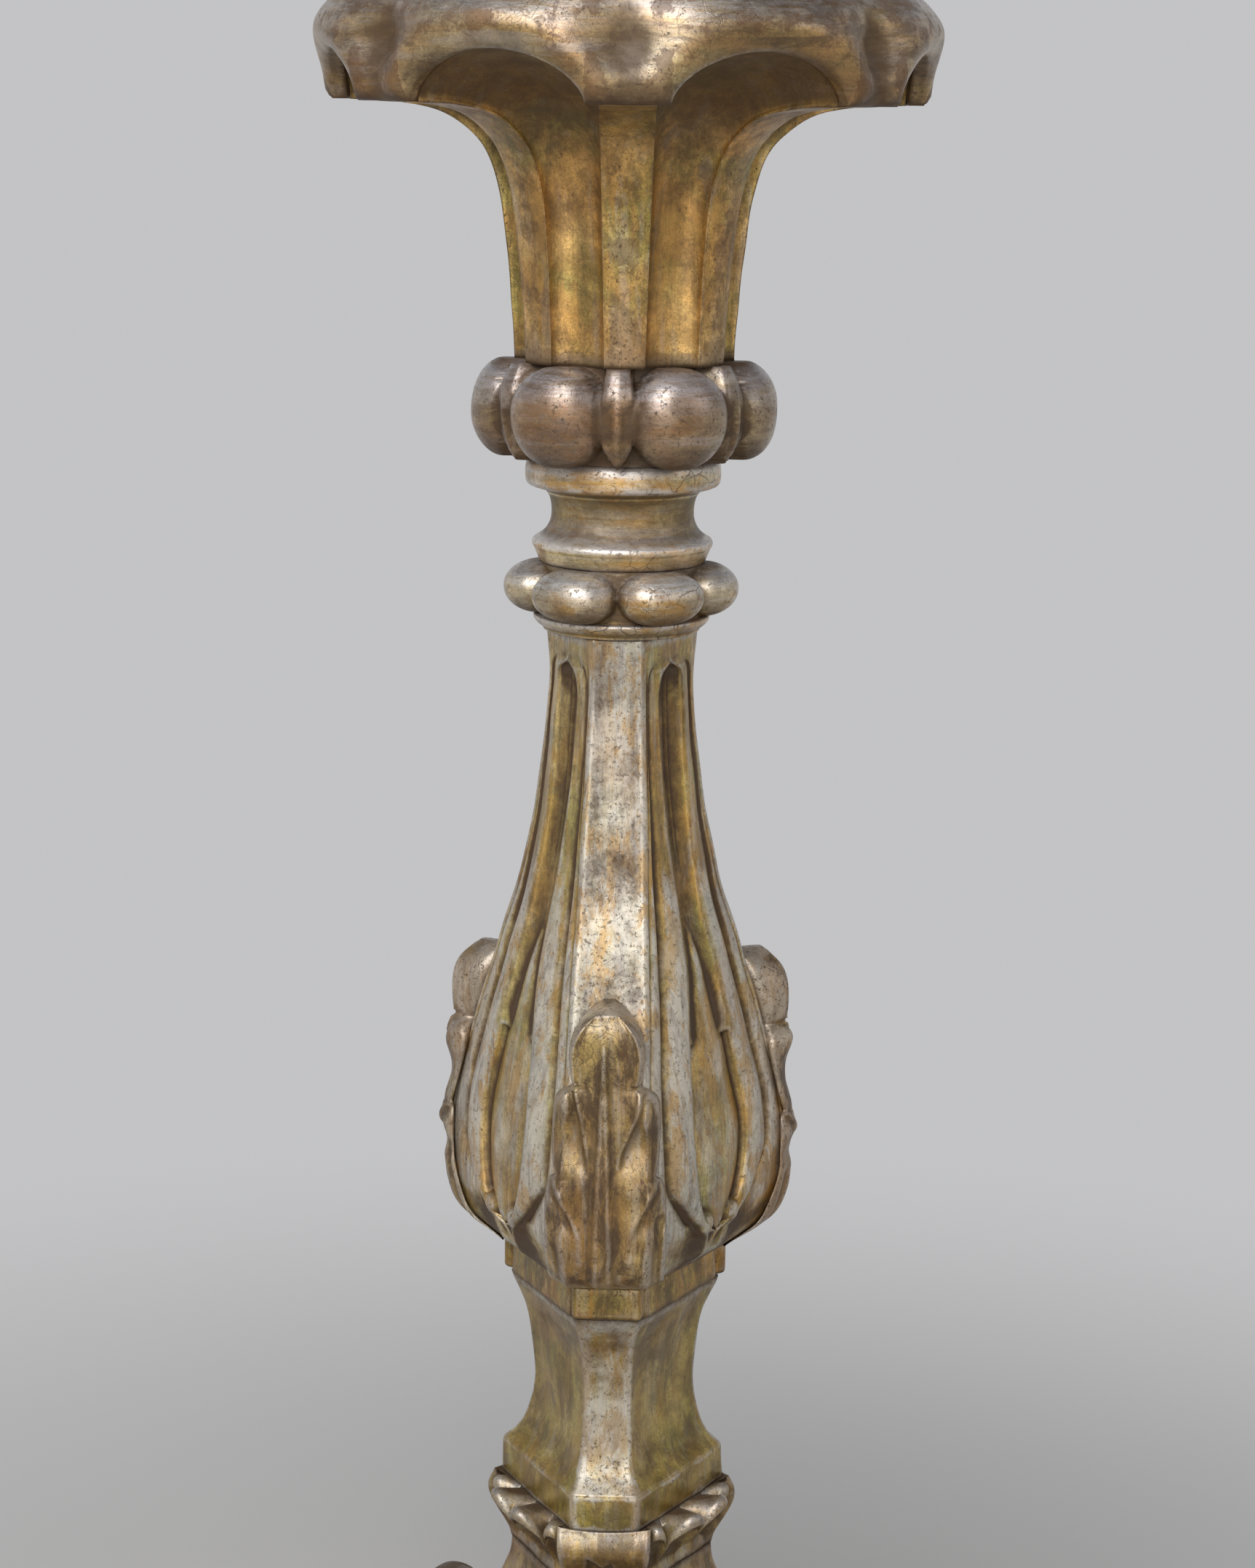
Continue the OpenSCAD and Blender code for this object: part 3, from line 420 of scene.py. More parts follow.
def makeGildingGroup():
    kinds = {**dict.fromkeys(gildingColors, "Color"), "Streak Direction": "Vector",
             **dict.fromkeys(gildingAmounts, "Float")}
    results = {"Color": "Color", "Leaf": "Float", "Rough": "Float", "Coat": "Float", "Height": "Float"}
    tree, given, result = newGroup("waterGilding", kinds, results)

    def times(*values):
        return sumOf(tree, "MULTIPLY", *values)

    def scaled(value, share, more):
        return sumOf(tree, "MULTIPLY_ADD", value, share, more)

    def ramp(*values):
        return between(tree, *values)

    def clouds(where, *settings, offset=None):
        return noise(tree, moved(tree, where, offset=offset), *settings)

    place = addNode(tree, "ShaderNodeTexCoord").outputs["Object"]
    worn, soiled = (addNode(tree, "ShaderNodeAttribute", attribute_name=name).outputs["Fac"]
                    for name in ("worn", "soiled"))
    normal = addNode(tree, "ShaderNodeNewGeometry").outputs["Normal"]
    upward = addNode(tree, "ShaderNodeSeparateXYZ", {0: normal}).outputs[2]
    brushed = moved(tree, place, given["Streak Direction"])
    halfBrushed = moved(tree, moved(tree, given["Streak Direction"], (0.7, 0.7, 0.7)), offset=(0.3, 0.3, 0.3))
    drawn = moved(tree, place, halfBrushed, (5.2, 0.8, 1.9))

    drift = clouds(place, given["Drift Scale"], 3, 0.6, 0.4)
    cloud = clouds(place, 16, 5, 0.62, 0.3, offset=(3.1, 1.7, 0.4))
    smudge = clouds(place, 55, 6, 0.7, 0.5, offset=(1.1, 4.7, 2.4))
    blotch = clouds(place, 135, 6, 0.72, 0.4)
    grain = clouds(place, 900, 3, 0.7)
    streak = clouds(brushed, 420, 5, 0.7, 0.1)
    longStreak = clouds(brushed, 110, 5, 0.65, 0.2, offset=(1.3, 0.2, 2.2))

    color = blendColor(tree, ramp(drift, 0.36, 0.64), given["Deep Gold"], given["Light Gold"])

    def layer(share, amount, paint, strength=None):  # lays paint over the colour and says where it lies
        nonlocal color
        laid = times(share, given[amount])
        color = blendColor(tree, times(laid, strength) if strength else laid, color, given[paint])
        return laid

    layer(ramp(cloud, 0.42, 0.64), "Olive Amount", "Olive")
    for value, low, high, least, most in ((smudge, 0.36, 0.64, 0.66, 1.22), (grain, 0.3, 0.7, 0.75, 1.2)):
        shade = ramp(value, low, high, least, most)
        shade = addNode(tree, "ShaderNodeCombineColor", {0: shade, 1: shade, 2: shade}).outputs[0]
        color = blendColor(tree, 1.0, color, shade, "MULTIPLY")

    # leaf rubbed thin is pale, in soft patches drawn out along the brush; where the wear mask carries painted
    # sheen (spool flare, narrow facets, leaf tips) this pale is a painted highlight
    thin = sumOf(tree, "ADD", worn, scaled(longStreak, 1.6, -0.8))
    thin = sumOf(tree, "ADD", thin, scaled(smudge, 1.0, -0.5))
    paleWearAndSheen = layer(ramp(thin, 0.5, 1.1), "Edge Pale", "Pale")

    # deep gold shows through in patches drawn out along the brush, and what faces up gets a pale painted
    # sheen
    layer(ramp(clouds(drawn, 60, 8, 0.76, 0.35), 0.49, 0.57), "Mottle Amount", "Deep Gold")
    paintedTopSheen = layer(times(ramp(upward, -0.05, 0.8), ramp(streak, 0.38, 0.58, 0.35, 1)), "Top Gray", "Pale")

    # brush streaks, darker and lighter than the ground
    layer(ramp(longStreak, 0.51, 0.62), "Streak Amount", "Patina", 0.55)
    layer(ramp(longStreak, 0.48, 0.38), "Streak Amount", "Pale", 0.5)
    fine = layer(ramp(streak, 0.53, 0.66), "Streak Amount", "Patina", 0.6)

    # a brown glaze left in ragged patches, thinner where hands rub
    glaze = ramp(clouds(drawn, 52, 9, 0.8, 0.5, offset=(2.7, 3.3, 0.6)), 0.465, 0.585)
    patina = layer(times(glaze, ramp(worn, 0.3, 1.2, 1, 0.3)), "Patina Amount", "Patina")

    # red clay where the leaf is rubbed through, and in flecks
    rubbed = sumOf(tree, "ADD", worn, scaled(blotch, 2.4, -1.2))
    boleEdge = layer(ramp(rubbed, 0.4, 0.75), "Edge Bole", "Bole")
    layer(ramp(clouds(place, 150, 4, 0.62, 0.6, offset=(0.7, 2.3, 5.1)), 0.645, 0.70), "Bole Amount", "Bole")

    # dirt and painted shade in the hollows, near the ends and under what faces down, with a little pale dust
    # in the deepest
    dirtAndShadeMark = layer(ramp(scaled(blotch, 0.9, soiled), 0.5, 1.25), "Soil Amount", "Patina")
    dust = layer(times(ramp(soiled, 0.85, 1.0), ramp(grain, 0.4, 0.62)), "Dust Amount", "Pale")

    # crackle, and specks that gather on the edges
    bend = addNode(tree, "ShaderNodeTexNoise", {"Vector": place, "Scale": 90.0, "Detail": 3.0}).outputs[1]
    bent = moved(tree, place, offset=moved(tree, bend, (0.007, 0.007, 0.007)))
    cell = addNode(tree, "ShaderNodeTexVoronoi", {"Vector": bent, "Scale": 85.0}, feature="DISTANCE_TO_EDGE")
    cracks = times(ramp(cell.outputs[0], 0.03, 0.004), ramp(cloud, 0.5, 0.6))
    crackle = layer(cracks, "Crackle Amount", "Patina", 0.75)
    specks = scaled(worn, 0.06, clouds(place, 420, 5, 0.75, 0.1))
    speck = layer(ramp(specks, 0.61, 0.70), "Speck Amount", "Patina", 0.85)

    dull = dirtAndShadeMark
    for mark, part in ((dust, 1), (speck, 1), (paleWearAndSheen, 0.45), (patina, 0.5), (boleEdge, 0.8), (paintedTopSheen, 0.25)):
        dull = sumOf(tree, "MAXIMUM", dull, times(mark, part))
    height = scaled(grain, 0.35, times(streak, 0.3))
    for mark, depth in ((crackle, 0.5), (speck, 0.45), (fine, 0.12)):
        height = sumOf(tree, "SUBTRACT", height, times(mark, depth))
    rough = sumOf(tree, "ADD", ramp(dull, 0, 1, 0.36, 0.62), ramp(grain, 0.3, 0.7, -0.05, 0.07))
    metal = times(ramp(dull, 0, 1, 1, 0.2), given["Metal"])
    coat = times(ramp(dull, 0, 1, 1, 0.1), given["Coat"])
    feed(tree, result, {"Color": color, "Leaf": metal, "Rough": rough, "Coat": coat, "Height": height})
    return tree


gildingGroup = makeGildingGroup()


def gilding(name, lightGold, deepGold, brushed=upright, **changes):
    material, tree, shader = newMaterial(name)
    values = {**gildingColors, **gildingAmounts, "Light Gold": lightGold, "Deep Gold": deepGold,
              "Streak Direction": brushed}
    for key, value in changes.items():  # each camel-case key names the socket with its words spaced and capitalised
        values["".join(" " + c if c.isupper() else c for c in key).title()] = value
    for key in gildingColors:
        values[key] = (*values[key], 1)
    group = addNode(tree, "ShaderNodeGroup", values, node_tree=gildingGroup).outputs
    bump = addNode(tree, "ShaderNodeBump", {"Height": group["Height"], "Strength": 0.6, "Distance": 0.0006})
    feed(tree, shader, {"Base Color": group["Color"], "Metallic": group["Leaf"], "Roughness": group["Rough"],
                        "Coat Weight": group["Coat"], "Normal": bump.outputs["Normal"], "Coat Roughness": 0.3,
                        "Specular IOR Level": 0.25})
    return material


panGilding = gilding(
    "panGilding", (0.48, 0.35, 0.18), (0.36, 0.20, 0.07), roundAbout, topGray=0.85, edgeBole=0.6,
    edgePale=0.0, bole=(0.10, 0.045, 0.02), pale=(0.55, 0.53, 0.52), metal=0.75, coat=0.6
)
trumpetGilding = gilding(
    "trumpetGilding", (0.80, 0.52, 0.19), (0.58, 0.31, 0.08), olive=(0.36, 0.30, 0.08), oliveAmount=0.85,
    edgeBole=0.5, bole=(0.13, 0.07, 0.03), patinaAmount=0.4, streakAmount=0.4, coat=0.3, metal=0.72,
    topGray=0.2, speckAmount=0.8
)
knopGilding = gilding(
    "knopGilding", (0.40, 0.28, 0.13), (0.27, 0.14, 0.045), roundAbout, dustAmount=0.0, patinaAmount=0.95,
    topGray=0.95, pale=(0.60, 0.59, 0.62), edgePale=0.1, mottleAmount=0.8, speckAmount=0.8
)
spoolGilding = gilding(
    "spoolGilding", (0.80, 0.63, 0.30), (0.64, 0.36, 0.08), roundAbout, patinaAmount=0.45,
    crackleAmount=1.0, topGray=0.85, pale=(0.86, 0.85, 0.84), soilAmount=0.7, edgePale=0.7, edgeBole=0.1,
    metal=0.72, mottleAmount=0.8, oliveAmount=0.5
)
smallBeadGilding = gilding(
    "smallBeadGilding", (0.62, 0.50, 0.26), (0.46, 0.26, 0.06), roundAbout, dustAmount=0.0,
    patinaAmount=0.8, edgePale=0.2, pale=(0.78, 0.78, 0.78), crackleAmount=0.9, topGray=0.95,
    mottleAmount=0.9
)
balusterGilding = gilding(
    "balusterGilding", (0.64, 0.48, 0.20), (0.52, 0.30, 0.07), olive=(0.38, 0.33, 0.09), oliveAmount=0.8,
    streakAmount=0.6, patinaAmount=0.4, pale=(0.72, 0.70, 0.64), edgePale=0.8, coat=0.6, metal=0.65,
    soilAmount=1.0, mottleAmount=0.7
)
leafGilding = gilding(
    "leafGilding", (0.50, 0.34, 0.13), (0.33, 0.18, 0.05), patinaAmount=0.9, edgePale=0.55, edgeBole=0.03,
    pale=(0.60, 0.57, 0.52), speckAmount=1.0, metal=0.6, coat=0.4, topGray=0.35, boleAmount=0.15,
    soilAmount=0.5, crackleAmount=0.6
)
ringGilding = gilding(
    "ringGilding", (0.50, 0.35, 0.12), (0.42, 0.21, 0.04), oliveAmount=0.6, olive=(0.34, 0.27, 0.06),
    edgeBole=0.1, edgePale=0.7, metal=0.65, coat=0.4, pale=(0.62, 0.52, 0.36), mottleAmount=0.7
)
waistGilding = gilding(
    "waistGilding", (0.46, 0.35, 0.11), (0.36, 0.20, 0.035), olive=(0.32, 0.25, 0.035), oliveAmount=0.9,
    streakAmount=0.25, edgePale=0.85, patinaAmount=0.5, coat=0.5, metal=0.6, pale=(0.66, 0.63, 0.56),
    speckAmount=0.8
)
crownGilding = gilding(
    "crownGilding", (0.50, 0.36, 0.13), (0.38, 0.21, 0.045), patinaAmount=0.6, topGray=0.55,
    pale=(0.56, 0.56, 0.57), edgePale=0.35, edgeBole=0.03, coat=0.6, metal=0.65, soilAmount=0.9,
    oliveAmount=0.5
)
baseGilding = gilding(
    "baseGilding", (0.50, 0.35, 0.13), (0.38, 0.21, 0.05), oliveAmount=0.6, topGray=0.6,
    pale=(0.48, 0.47, 0.46), edgeBole=0.08, coat=0.5
)


# ---- plain woods and metals of the small parts ----

def makeGrainGroup():
    kinds = {"Light": "Color", "Dark": "Color", "Stretch": "Vector", "Scale": "Float", "Spots": "Float"}
    results = {"Color": "Color", "Spot": "Float", "Height": "Float"}
    tree, given, result = newGroup("grainAndSpots", kinds, results)
    place = addNode(tree, "ShaderNodeTexCoord").outputs["Object"]
    lines = noise(tree, moved(tree, place, given["Stretch"]), given["Scale"], 6, 0.65, 0.5)
    spots = sumOf(tree, "MULTIPLY", between(tree, noise(tree, place, 60, 5, 0.65), 0.5, 0.68), given["Spots"])
    fine = noise(tree, place, 620, 3, 0.6)
    color = blendColor(tree, between(tree, lines, 0.35, 0.66), given["Dark"], given["Light"])
    color = blendColor(tree, spots, color, given["Dark"])
    height = sumOf(tree, "ADD", sumOf(tree, "MULTIPLY", lines, 0.5), sumOf(tree, "MULTIPLY", fine, 0.4))
    feed(tree, result, {"Color": color, "Spot": spots, "Height": height})
    return tree


grainGroup = makeGrainGroup()


def grained(name, light, dark, stretch, scale, spots, metal, rough, roughSpots):
    material, tree, shader = newMaterial(name)
    values = {"Light": (*light, 1), "Dark": (*dark, 1), "Stretch": stretch, "Scale": scale, "Spots": spots}
    group = addNode(tree, "ShaderNodeGroup", values, node_tree=grainGroup).outputs
    bump = addNode(tree, "ShaderNodeBump", {"Height": group["Height"], "Strength": 0.5, "Distance": 0.0005})
    feed(tree, shader, {"Base Color": group["Color"], "Metallic": metal, "Normal": bump.outputs["Normal"],
                        "Roughness": between(tree, group["Spot"], 0, 1, rough, roughSpots)})
    return material


bareWood = grained("bareWood", (0.5, 0.34, 0.19), (0.27, 0.16, 0.08), (1, 1, 0.08), 140, 0.3, 0, 0.6, 0.7)
forgedIron = grained("forgedIron", (0.10, 0.085, 0.075), (0.055, 0.035, 0.026), (1, 1, 0.5), 60, 0.8, 0.85,
                     0.42, 0.75)
trayBrass = grained("trayBrass", (0.46, 0.34, 0.15), (0.22, 0.15, 0.07), (1, 1, 1), 30, 0.7, 0.9, 0.36, 0.6)
dullSteel = grained("dullSteel", (0.36, 0.35, 0.34), (0.18, 0.16, 0.15), (1, 1, 1), 80, 0.5, 0.9, 0.4, 0.6)

for node in ("upper_spindle", "middle_spindle", "lower_spindle", "leg_dowels"):
    paintWith(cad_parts[node], bareWood)
paintWith(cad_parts["board_screws"], dullSteel)
print("materials made")


# ---- pan and trumpet ----

ribs = 7
sector = 360 / ribs
pan = {
    "turn": 3, "radius": 165, "inside": 149.6, "lobeWidth": 44, "archRise": 26, "edgeRoll": 11,
    "edgeDrop": 7.4, "archSteps": 30, "lobeSteps": 17, "wallSteps": 44, "back": 1.8, "brow": 2.2,
    "browPlace": 14, "browSpread": 9, "rimRound": 0.4, "rimInside": 143, "carved": 0.35,
}
archPower = 1.2
bodyOutline = [[0, 1], [34, 1], [43, 0.99], [50, 0.965], [54, 0.94], [57, 0.912], [58, 0.895]]
valleyDepth = [[0, 2.5], [10, 5.5], [26, 9.5], [42, 9], [58, 5]]
valleySpread = [[0, 10], [14, 15], [30, 20], [58, 26]]
# the dish inside the rim: distance from the axis and depth under the rim
dishOutline = [
    (141, 0.5), (139.5, 1.6), (138, 4), (136.8, 7.2), (135.6, 9.2), (133, 10), (90, 10), (40, 10),
]


def ribColumns(lobeSteps, archSteps):
    # where each column of points stands: its rib, its side, its share over the rib and its arch angle
    psi = np.linspace(90, 0, archSteps, endpoint=False)
    across = np.sin(np.radians(np.linspace(-90, 90, lobeSteps)))
    side = np.concatenate([-np.ones(archSteps), np.sign(across), np.ones(archSteps - 1)])
    share = np.concatenate([np.ones(archSteps), np.abs(across), np.ones(archSteps - 1)])
    swing = np.concatenate([psi, np.zeros(lobeSteps), psi[:0:-1]])
    middle = np.repeat(np.arange(ribs) * sector, len(side))
    return middle, np.tile(side, ribs), np.tile(share, ribs), np.tile(swing, ribs)


def columnAngles(columns, half):
    middle, side, share, swing = columns
    beside = sector / 2 - np.cos(np.radians(swing)) * (sector / 2 - half)
    away = np.where(swing == 0, share * half, beside)
    return middle + side * away, side * away, np.sin(np.radians(swing)) ** archPower


def makePan():
    base, top = levels("pan")
    ceiling = levels("trumpet")[1]
    columns = ribColumns(pan["lobeSteps"], pan["archSteps"])
    half = math.degrees(math.asin(pan["lobeWidth"] / 2 / pan["radius"]))
    angle, away, lift = columnAngles(columns, half)
    edge = base + pan["archRise"] * lift

    # the arch's edge line as the surface is unrolled, for the roll that runs along it
    dense = np.radians(np.linspace(0, 90, 160))
    lineAway = np.concatenate([np.linspace(0, half, 30), sector / 2 - np.cos(dense) * (sector / 2 - half)])
    lineRise = np.concatenate([np.zeros(30), pan["archRise"] * np.sin(dense) ** archPower])
    degree = math.radians(1) * pan["radius"]

    rows = [polar(r, angle, ceiling) for r in (40, 90, 130, pan["inside"])]
    rows += [polar(pan["inside"], angle, mix(ceiling, edge, t)) for t in (0.25, 0.5, 0.75, 0.93)]
    wall = []
    for t in np.linspace(0, 1, pan["wallSteps"]) ** 1.35:
        z = mix(edge, top - pan["rimRound"], t)
        rise = z - base
        off = np.hypot(np.abs(away)[:, None] * degree - lineAway * degree, rise[:, None] - lineRise).min(1)
        roll = pan["edgeDrop"] * (1 - np.sqrt(1 - (1 - np.clip(off / pan["edgeRoll"], 0, 1)) ** 2))
        valley = curve(valleyDepth, rise) * hump(np.abs(away) * degree, 0, curve(valleySpread, rise), 1.8)
        brow = pan["brow"] * hump(off, pan["browPlace"], pan["browSpread"])
        r = pan["radius"] * curve(bodyOutline, rise) - pan["back"] + brow - roll - valley
        wall.append(polar(r, angle, z))
    inner = polar(pan["inside"], angle, edge)
    rows += [inner + (wall[0] - inner) * t for t in (0.03, 0.35, 0.7, 0.93)]
    rows += wall
    rim = np.hypot(wall[-1][:, 0], wall[-1][:, 1])
    rows += [polar(mix(rim, pan["rimInside"], t), angle, top + pan["rimRound"] * (t ** 0.5 - 1))
             for t in (0.25, 0.6, 1)]
    rows += [polar(r, angle, top - z) for r, z in dishOutline]
    rows = carverHand(np.stack(rows), pan["carved"], 60)
    far = np.maximum(np.hypot(rows[:7, :, 0], rows[:7, :, 1]), pan["inside"])
    rows[:7, :, :2] *= (pan["inside"] / far)[..., None]  # the hollow's ceiling stays inside its wall
    piece = shell("gildedPan", rows)
    turnPiece(piece, pan["turn"])
    return finishPiece(piece, "pan", panGilding, deep=11)


trumpet = {
    "turn": 3, "foot": 59.5, "head": 149.5, "ribWidth": 21.5, "fluteDepth": 9.5, "fluteWall": 0.7,
    "rows": 110, "archSteps": 24, "lobeSteps": 15, "carved": 0.25,
}
ribOutline = [
    [0, 0], [0.015, 0.15], [0.045, 0.34], [0.09, 0.52], [0.16, 0.64], [0.27, 0.72], [0.45, 0.783],
    [0.7, 0.81], [0.93, 0.815], [1, 0.817],
]
fluteOutline = [
    [0, 0], [0.01, 0.15], [0.03, 0.34], [0.06, 0.5], [0.1, 0.61], [0.16, 0.71], [0.27, 0.81], [0.45, 0.89],
    [0.72, 0.95], [1, 0.98],
]
fluteFade = [1, 1.05, 1.15, 1.2, 1.1, 0.9, 0.6, 0.3, 0.1, 0]


def byNumber(outline, step):  # the smooth curve through an outline's points, taken by their number
    return [curve(list(enumerate(values)), step) for values in zip(*outline)]


def makeTrumpet():
    base, top = levels("trumpet")
    tall = top - base
    columns = ribColumns(trumpet["lobeSteps"], trumpet["archSteps"])
    lobe = math.degrees(math.asin(pan["lobeWidth"] / 2 / pan["radius"]))
    rows = []
    for step in np.linspace(0, len(fluteFade) - 1, trumpet["rows"]):
        rib, flute = byNumber(ribOutline, step), byNumber(fluteOutline, step)
        fade = curve(list(enumerate(fluteFade)), step)
        ribReach = mix(trumpet["foot"], trumpet["head"], rib[0])
        fluteReach = mix(trumpet["foot"], trumpet["head"], flute[0]) - trumpet["fluteDepth"] * fade
        half = math.degrees(math.asin(trumpet["ribWidth"] * (1 + 0.4 * rib[1]) / 2 / ribReach))
        half = min(half, mix(14, lobe, float(ease(step, 4.5, 9))))
        angle, away, hollow = columnAngles(columns, half)
        hollow = hollow ** trumpet["fluteWall"]
        flatten = ribReach * (1 / np.cos(np.radians(np.minimum(np.abs(away), half))) - 1) * (columns[3] == 0)
        r = mix(ribReach, fluteReach, hollow) - 0.35 * np.minimum(flatten, 1.5)
        rows.append(polar(r, angle, base + tall * mix(rib[1], flute[1], hollow)))
    rows = carverHand(np.stack(rows), trumpet["carved"], 45)
    last = atReach(rows[-1], trumpet["head"])
    head = last.copy()
    head[:, 2] = top
    piece = shell("flutedTrumpet", np.concatenate([rows, [last, head]]))
    turnPiece(piece, trumpet["turn"])
    return finishPiece(piece, "trumpet", trumpetGilding, deep=5)


makePan()
makeTrumpet()
print("pan and trumpet carved")


# ---- knop, spool and rings ----

def softMost(values, blend):
    values = np.stack(np.broadcast_arrays(*values))
    most = values.max(0)
    return most + blend * np.log(np.exp((values - most) / blend).sum(0))


def fromNearest(angle, count):
    step = 360 / count
    return angle - step * np.round(angle / step)


knop = {
    "reach": 63, "thick": 39.2, "long": 54, "core": 50, "dartReach": 73, "dartFall": 4.6, "dartHollow": 2.2,
    "dartBend": 0.011, "beadTall": 1.03, "columns": 432, "rows": 74, "soft": 0.45, "carved": 0.45,
}
dartHalf = [[-26, 0.3], [-22, 4.5], [-15, 8.6], [-4, 11.2], [8, 10.8], [20, 8.6], [26, 7.6]]


def beadReach(away, across, tall):
    left = 1 - np.abs(2 * across / tall) ** 2.15
    away = np.radians(away)
    p = (knop["thick"] / 2) ** -2
    a = np.cos(away) ** 2 * p + (np.sin(away) * 2 / knop["long"]) ** 2
    b = knop["reach"] * np.cos(away) * p
    root = b * b - a * (knop["reach"] ** 2 * p - left)
    return np.where((left > 0) & (root > 0), (b + np.sqrt(np.maximum(root, 0))) / a, knop["core"] - 4)


def makeKnop():
    base, top = levels("beaded_knop")
    tall = top - base
    angle = np.arange(knop["columns"]) * 360 / knop["columns"]
    rows = []
    for t in (1 - np.cos(np.linspace(0, math.pi, knop["rows"]))) / 2:
        across = (t - 0.5) * tall
        bead = beadReach(30 - np.abs(fromNearest(angle, 6)), across, knop["beadTall"] * tall)
        half = curve(dartHalf, across)
        side = knop["dartReach"] * np.sin(np.radians(fromNearest(angle, 6))) / half
        share = np.minimum(np.abs(side), 1)
        hollow = (0.25 + 0.75 * ease(-across, -14, 4)) * np.sin(math.pi * share ** 0.75) ** 2
        dart = knop["dartReach"] - knop["dartFall"] * share ** 4 - knop["dartHollow"] * hollow
        dart = dart - knop["dartBend"] * across ** 2
        dart = np.where(np.abs(side) < 1, dart, dart - 9 * (np.abs(side) - 1) * half)
        rows.append(polar(softMost([knop["core"], bead, dart], knop["soft"]), angle, base + t * tall))
    rows = carverHand(np.stack(rows), knop["carved"], 40)
    hole = [polar(bore, angle, z) for z in (top, mix(base, top, 0.5), base)]
    piece = shell("beadedKnop", np.concatenate([rows, hole]), bored=True)
    return finishPiece(piece, "beaded_knop", knopGilding)


smallBeads = {
    "core": 44, "reach": 58, "soft": 0.4, "thick": 20, "halfLong": 28.4, "halfTall": 14.5, "columns": 384,
    "rows": 46, "carved": 0.4,
}


def makeSmallBeads():
    base, top = levels("beaded_ring")
    angle = np.arange(smallBeads["columns"]) * 360 / smallBeads["columns"]
    away = smallBeads["reach"] * np.sin(np.radians(30 - np.abs(fromNearest(angle, 6))))
    bulge = np.maximum(1 - (np.abs(away) / smallBeads["halfLong"]) ** 2.7, 0.02) ** 0.5
    rows = []
    for t in (1 - np.cos(np.linspace(0, math.pi, smallBeads["rows"]))) / 2:
        across = (t - 0.5) * (top - base) / smallBeads["halfTall"]
        left = bulge ** 2 - np.abs(across) ** 2.1
        swell = smallBeads["thick"] * np.sign(left) * np.abs(left) ** 0.5
        reach = softMost([smallBeads["core"], smallBeads["core"] + np.maximum(swell, -3)], smallBeads["soft"])
        rows.append(polar(reach, angle, base + t * (top - base)))
    rows = carverHand(np.stack(rows), smallBeads["carved"], 40)
    hole = [polar(bore, angle, z) for z in (top, base)]
    piece = shell("smallBeadRing", np.concatenate([rows, hole]), bored=True)
    return finishPiece(piece, "beaded_ring", smallBeadGilding)


def turnedPiece(name, outline, around):
    # a circle at the outline's first point, extruded and resized from point to point
    outline = [(max(r, 0.02), z) for r, z in outline]
    bpy.ops.mesh.primitive_circle_add(vertices=around, radius=outline[0][0] * mm)
    piece = bpy.context.object
    piece.name = piece.data.name = name
    bpy.ops.object.mode_set(mode="EDIT")
    bpy.ops.mesh.select_all(action="SELECT")
    bpy.ops.transform.translate(value=(0, 0, outline[0][1] * mm))
    for (r, z), (nextR, nextZ) in zip(outline, outline[1:]):
        bpy.ops.mesh.extrude_edges_move()
        bpy.ops.transform.resize(value=(nextR / r, nextR / r, 1), center_override=(0, 0, 0))
        bpy.ops.transform.translate(value=(0, 0, (nextZ - z) * mm))
    bpy.ops.mesh.select_all(action="SELECT")
    bpy.ops.mesh.remove_doubles(threshold=0.00003)
    bpy.ops.mesh.normals_make_consistent(inside=False)
    bpy.ops.object.mode_set(mode="OBJECT")
    modifier = piece.modifiers.new("fine", "SUBSURF")
    modifier.levels = modifier.render_levels = 1
    selectOnly(piece)
    bpy.ops.object.modifier_apply(modifier=modifier.name)
    return piece


spool = {"around": 132, "flareRub": 0.75, "flareLevel": 15.5, "flareSpread": 3.5}
spoolOutline = [
    (44.6, 0), (45.4, 1.5), (46.4, 4), (47.4, 6.6), (47.9, 7.6), (48, 8.1), (48.7, 8.8), (49.2, 10.2),
    (49.1, 11.6), (48.3, 12.8), (46.9, 13.7), (44.4, 15), (41.9, 17.2), (40.1, 20), (39, 23), (38.5, 26),
    (38.6, 31), (39.6, 35.2), (40.6, 37.2), (41.5, 37.9), (41.8, 38.6), (42, 39.3), (43.6, 40.2),
    (47.2, 41), (50.4, 41.8), (52.1, 42.8), (52.9, 44.6), (53, 48), (53, 51.6), (52.5, 54.2), (51.3, 56.2),
    (49.4, 57), (40, 57), (bore, 57), (bore, 28), (bore, 0), (38, 0), (44.6, 0),
]
neckRingOutline = [
    (41.5, 0), (42.6, 0.3), (43, 1), (42.9, 1.7), (43.4, 2.2), (45, 3.1), (46.6, 4.4), (47.7, 5.9),
    (48.2, 7.3), (48.1, 8.3), (47.3, 8.9), (45, 9), (30, 9), (bore, 9), (bore, 4), (bore, 0), (30, 0),
    (41.5, 0),
]


def paintedFlareSheen(points):  # painted highlight: a pale band on the flare under the spool's hollow
    rise = points[:, 2] - levels("spool")[0]
    return spool["flareRub"] * hump(rise, spool["flareLevel"], spool["flareSpread"])


def makeTurned(name, node, outline, rubbed=None):
    base = levels(node)[0]
    piece = turnedPiece(name, [(r, z + base) for r, z in outline], spool["around"])
    return finishPiece(piece, node, spoolGilding, deep=3.5, steps=30, joints=(0.6, 0.3), rubbed=rubbed)


makeKnop()
makeSmallBeads()
makeTurned("turnedSpool", "spool", spoolOutline, paintedFlareSheen)
makeTurned("neckRing", "neck_ring", neckRingOutline)
print("knop, spool and rings made")


# ---- baluster ----

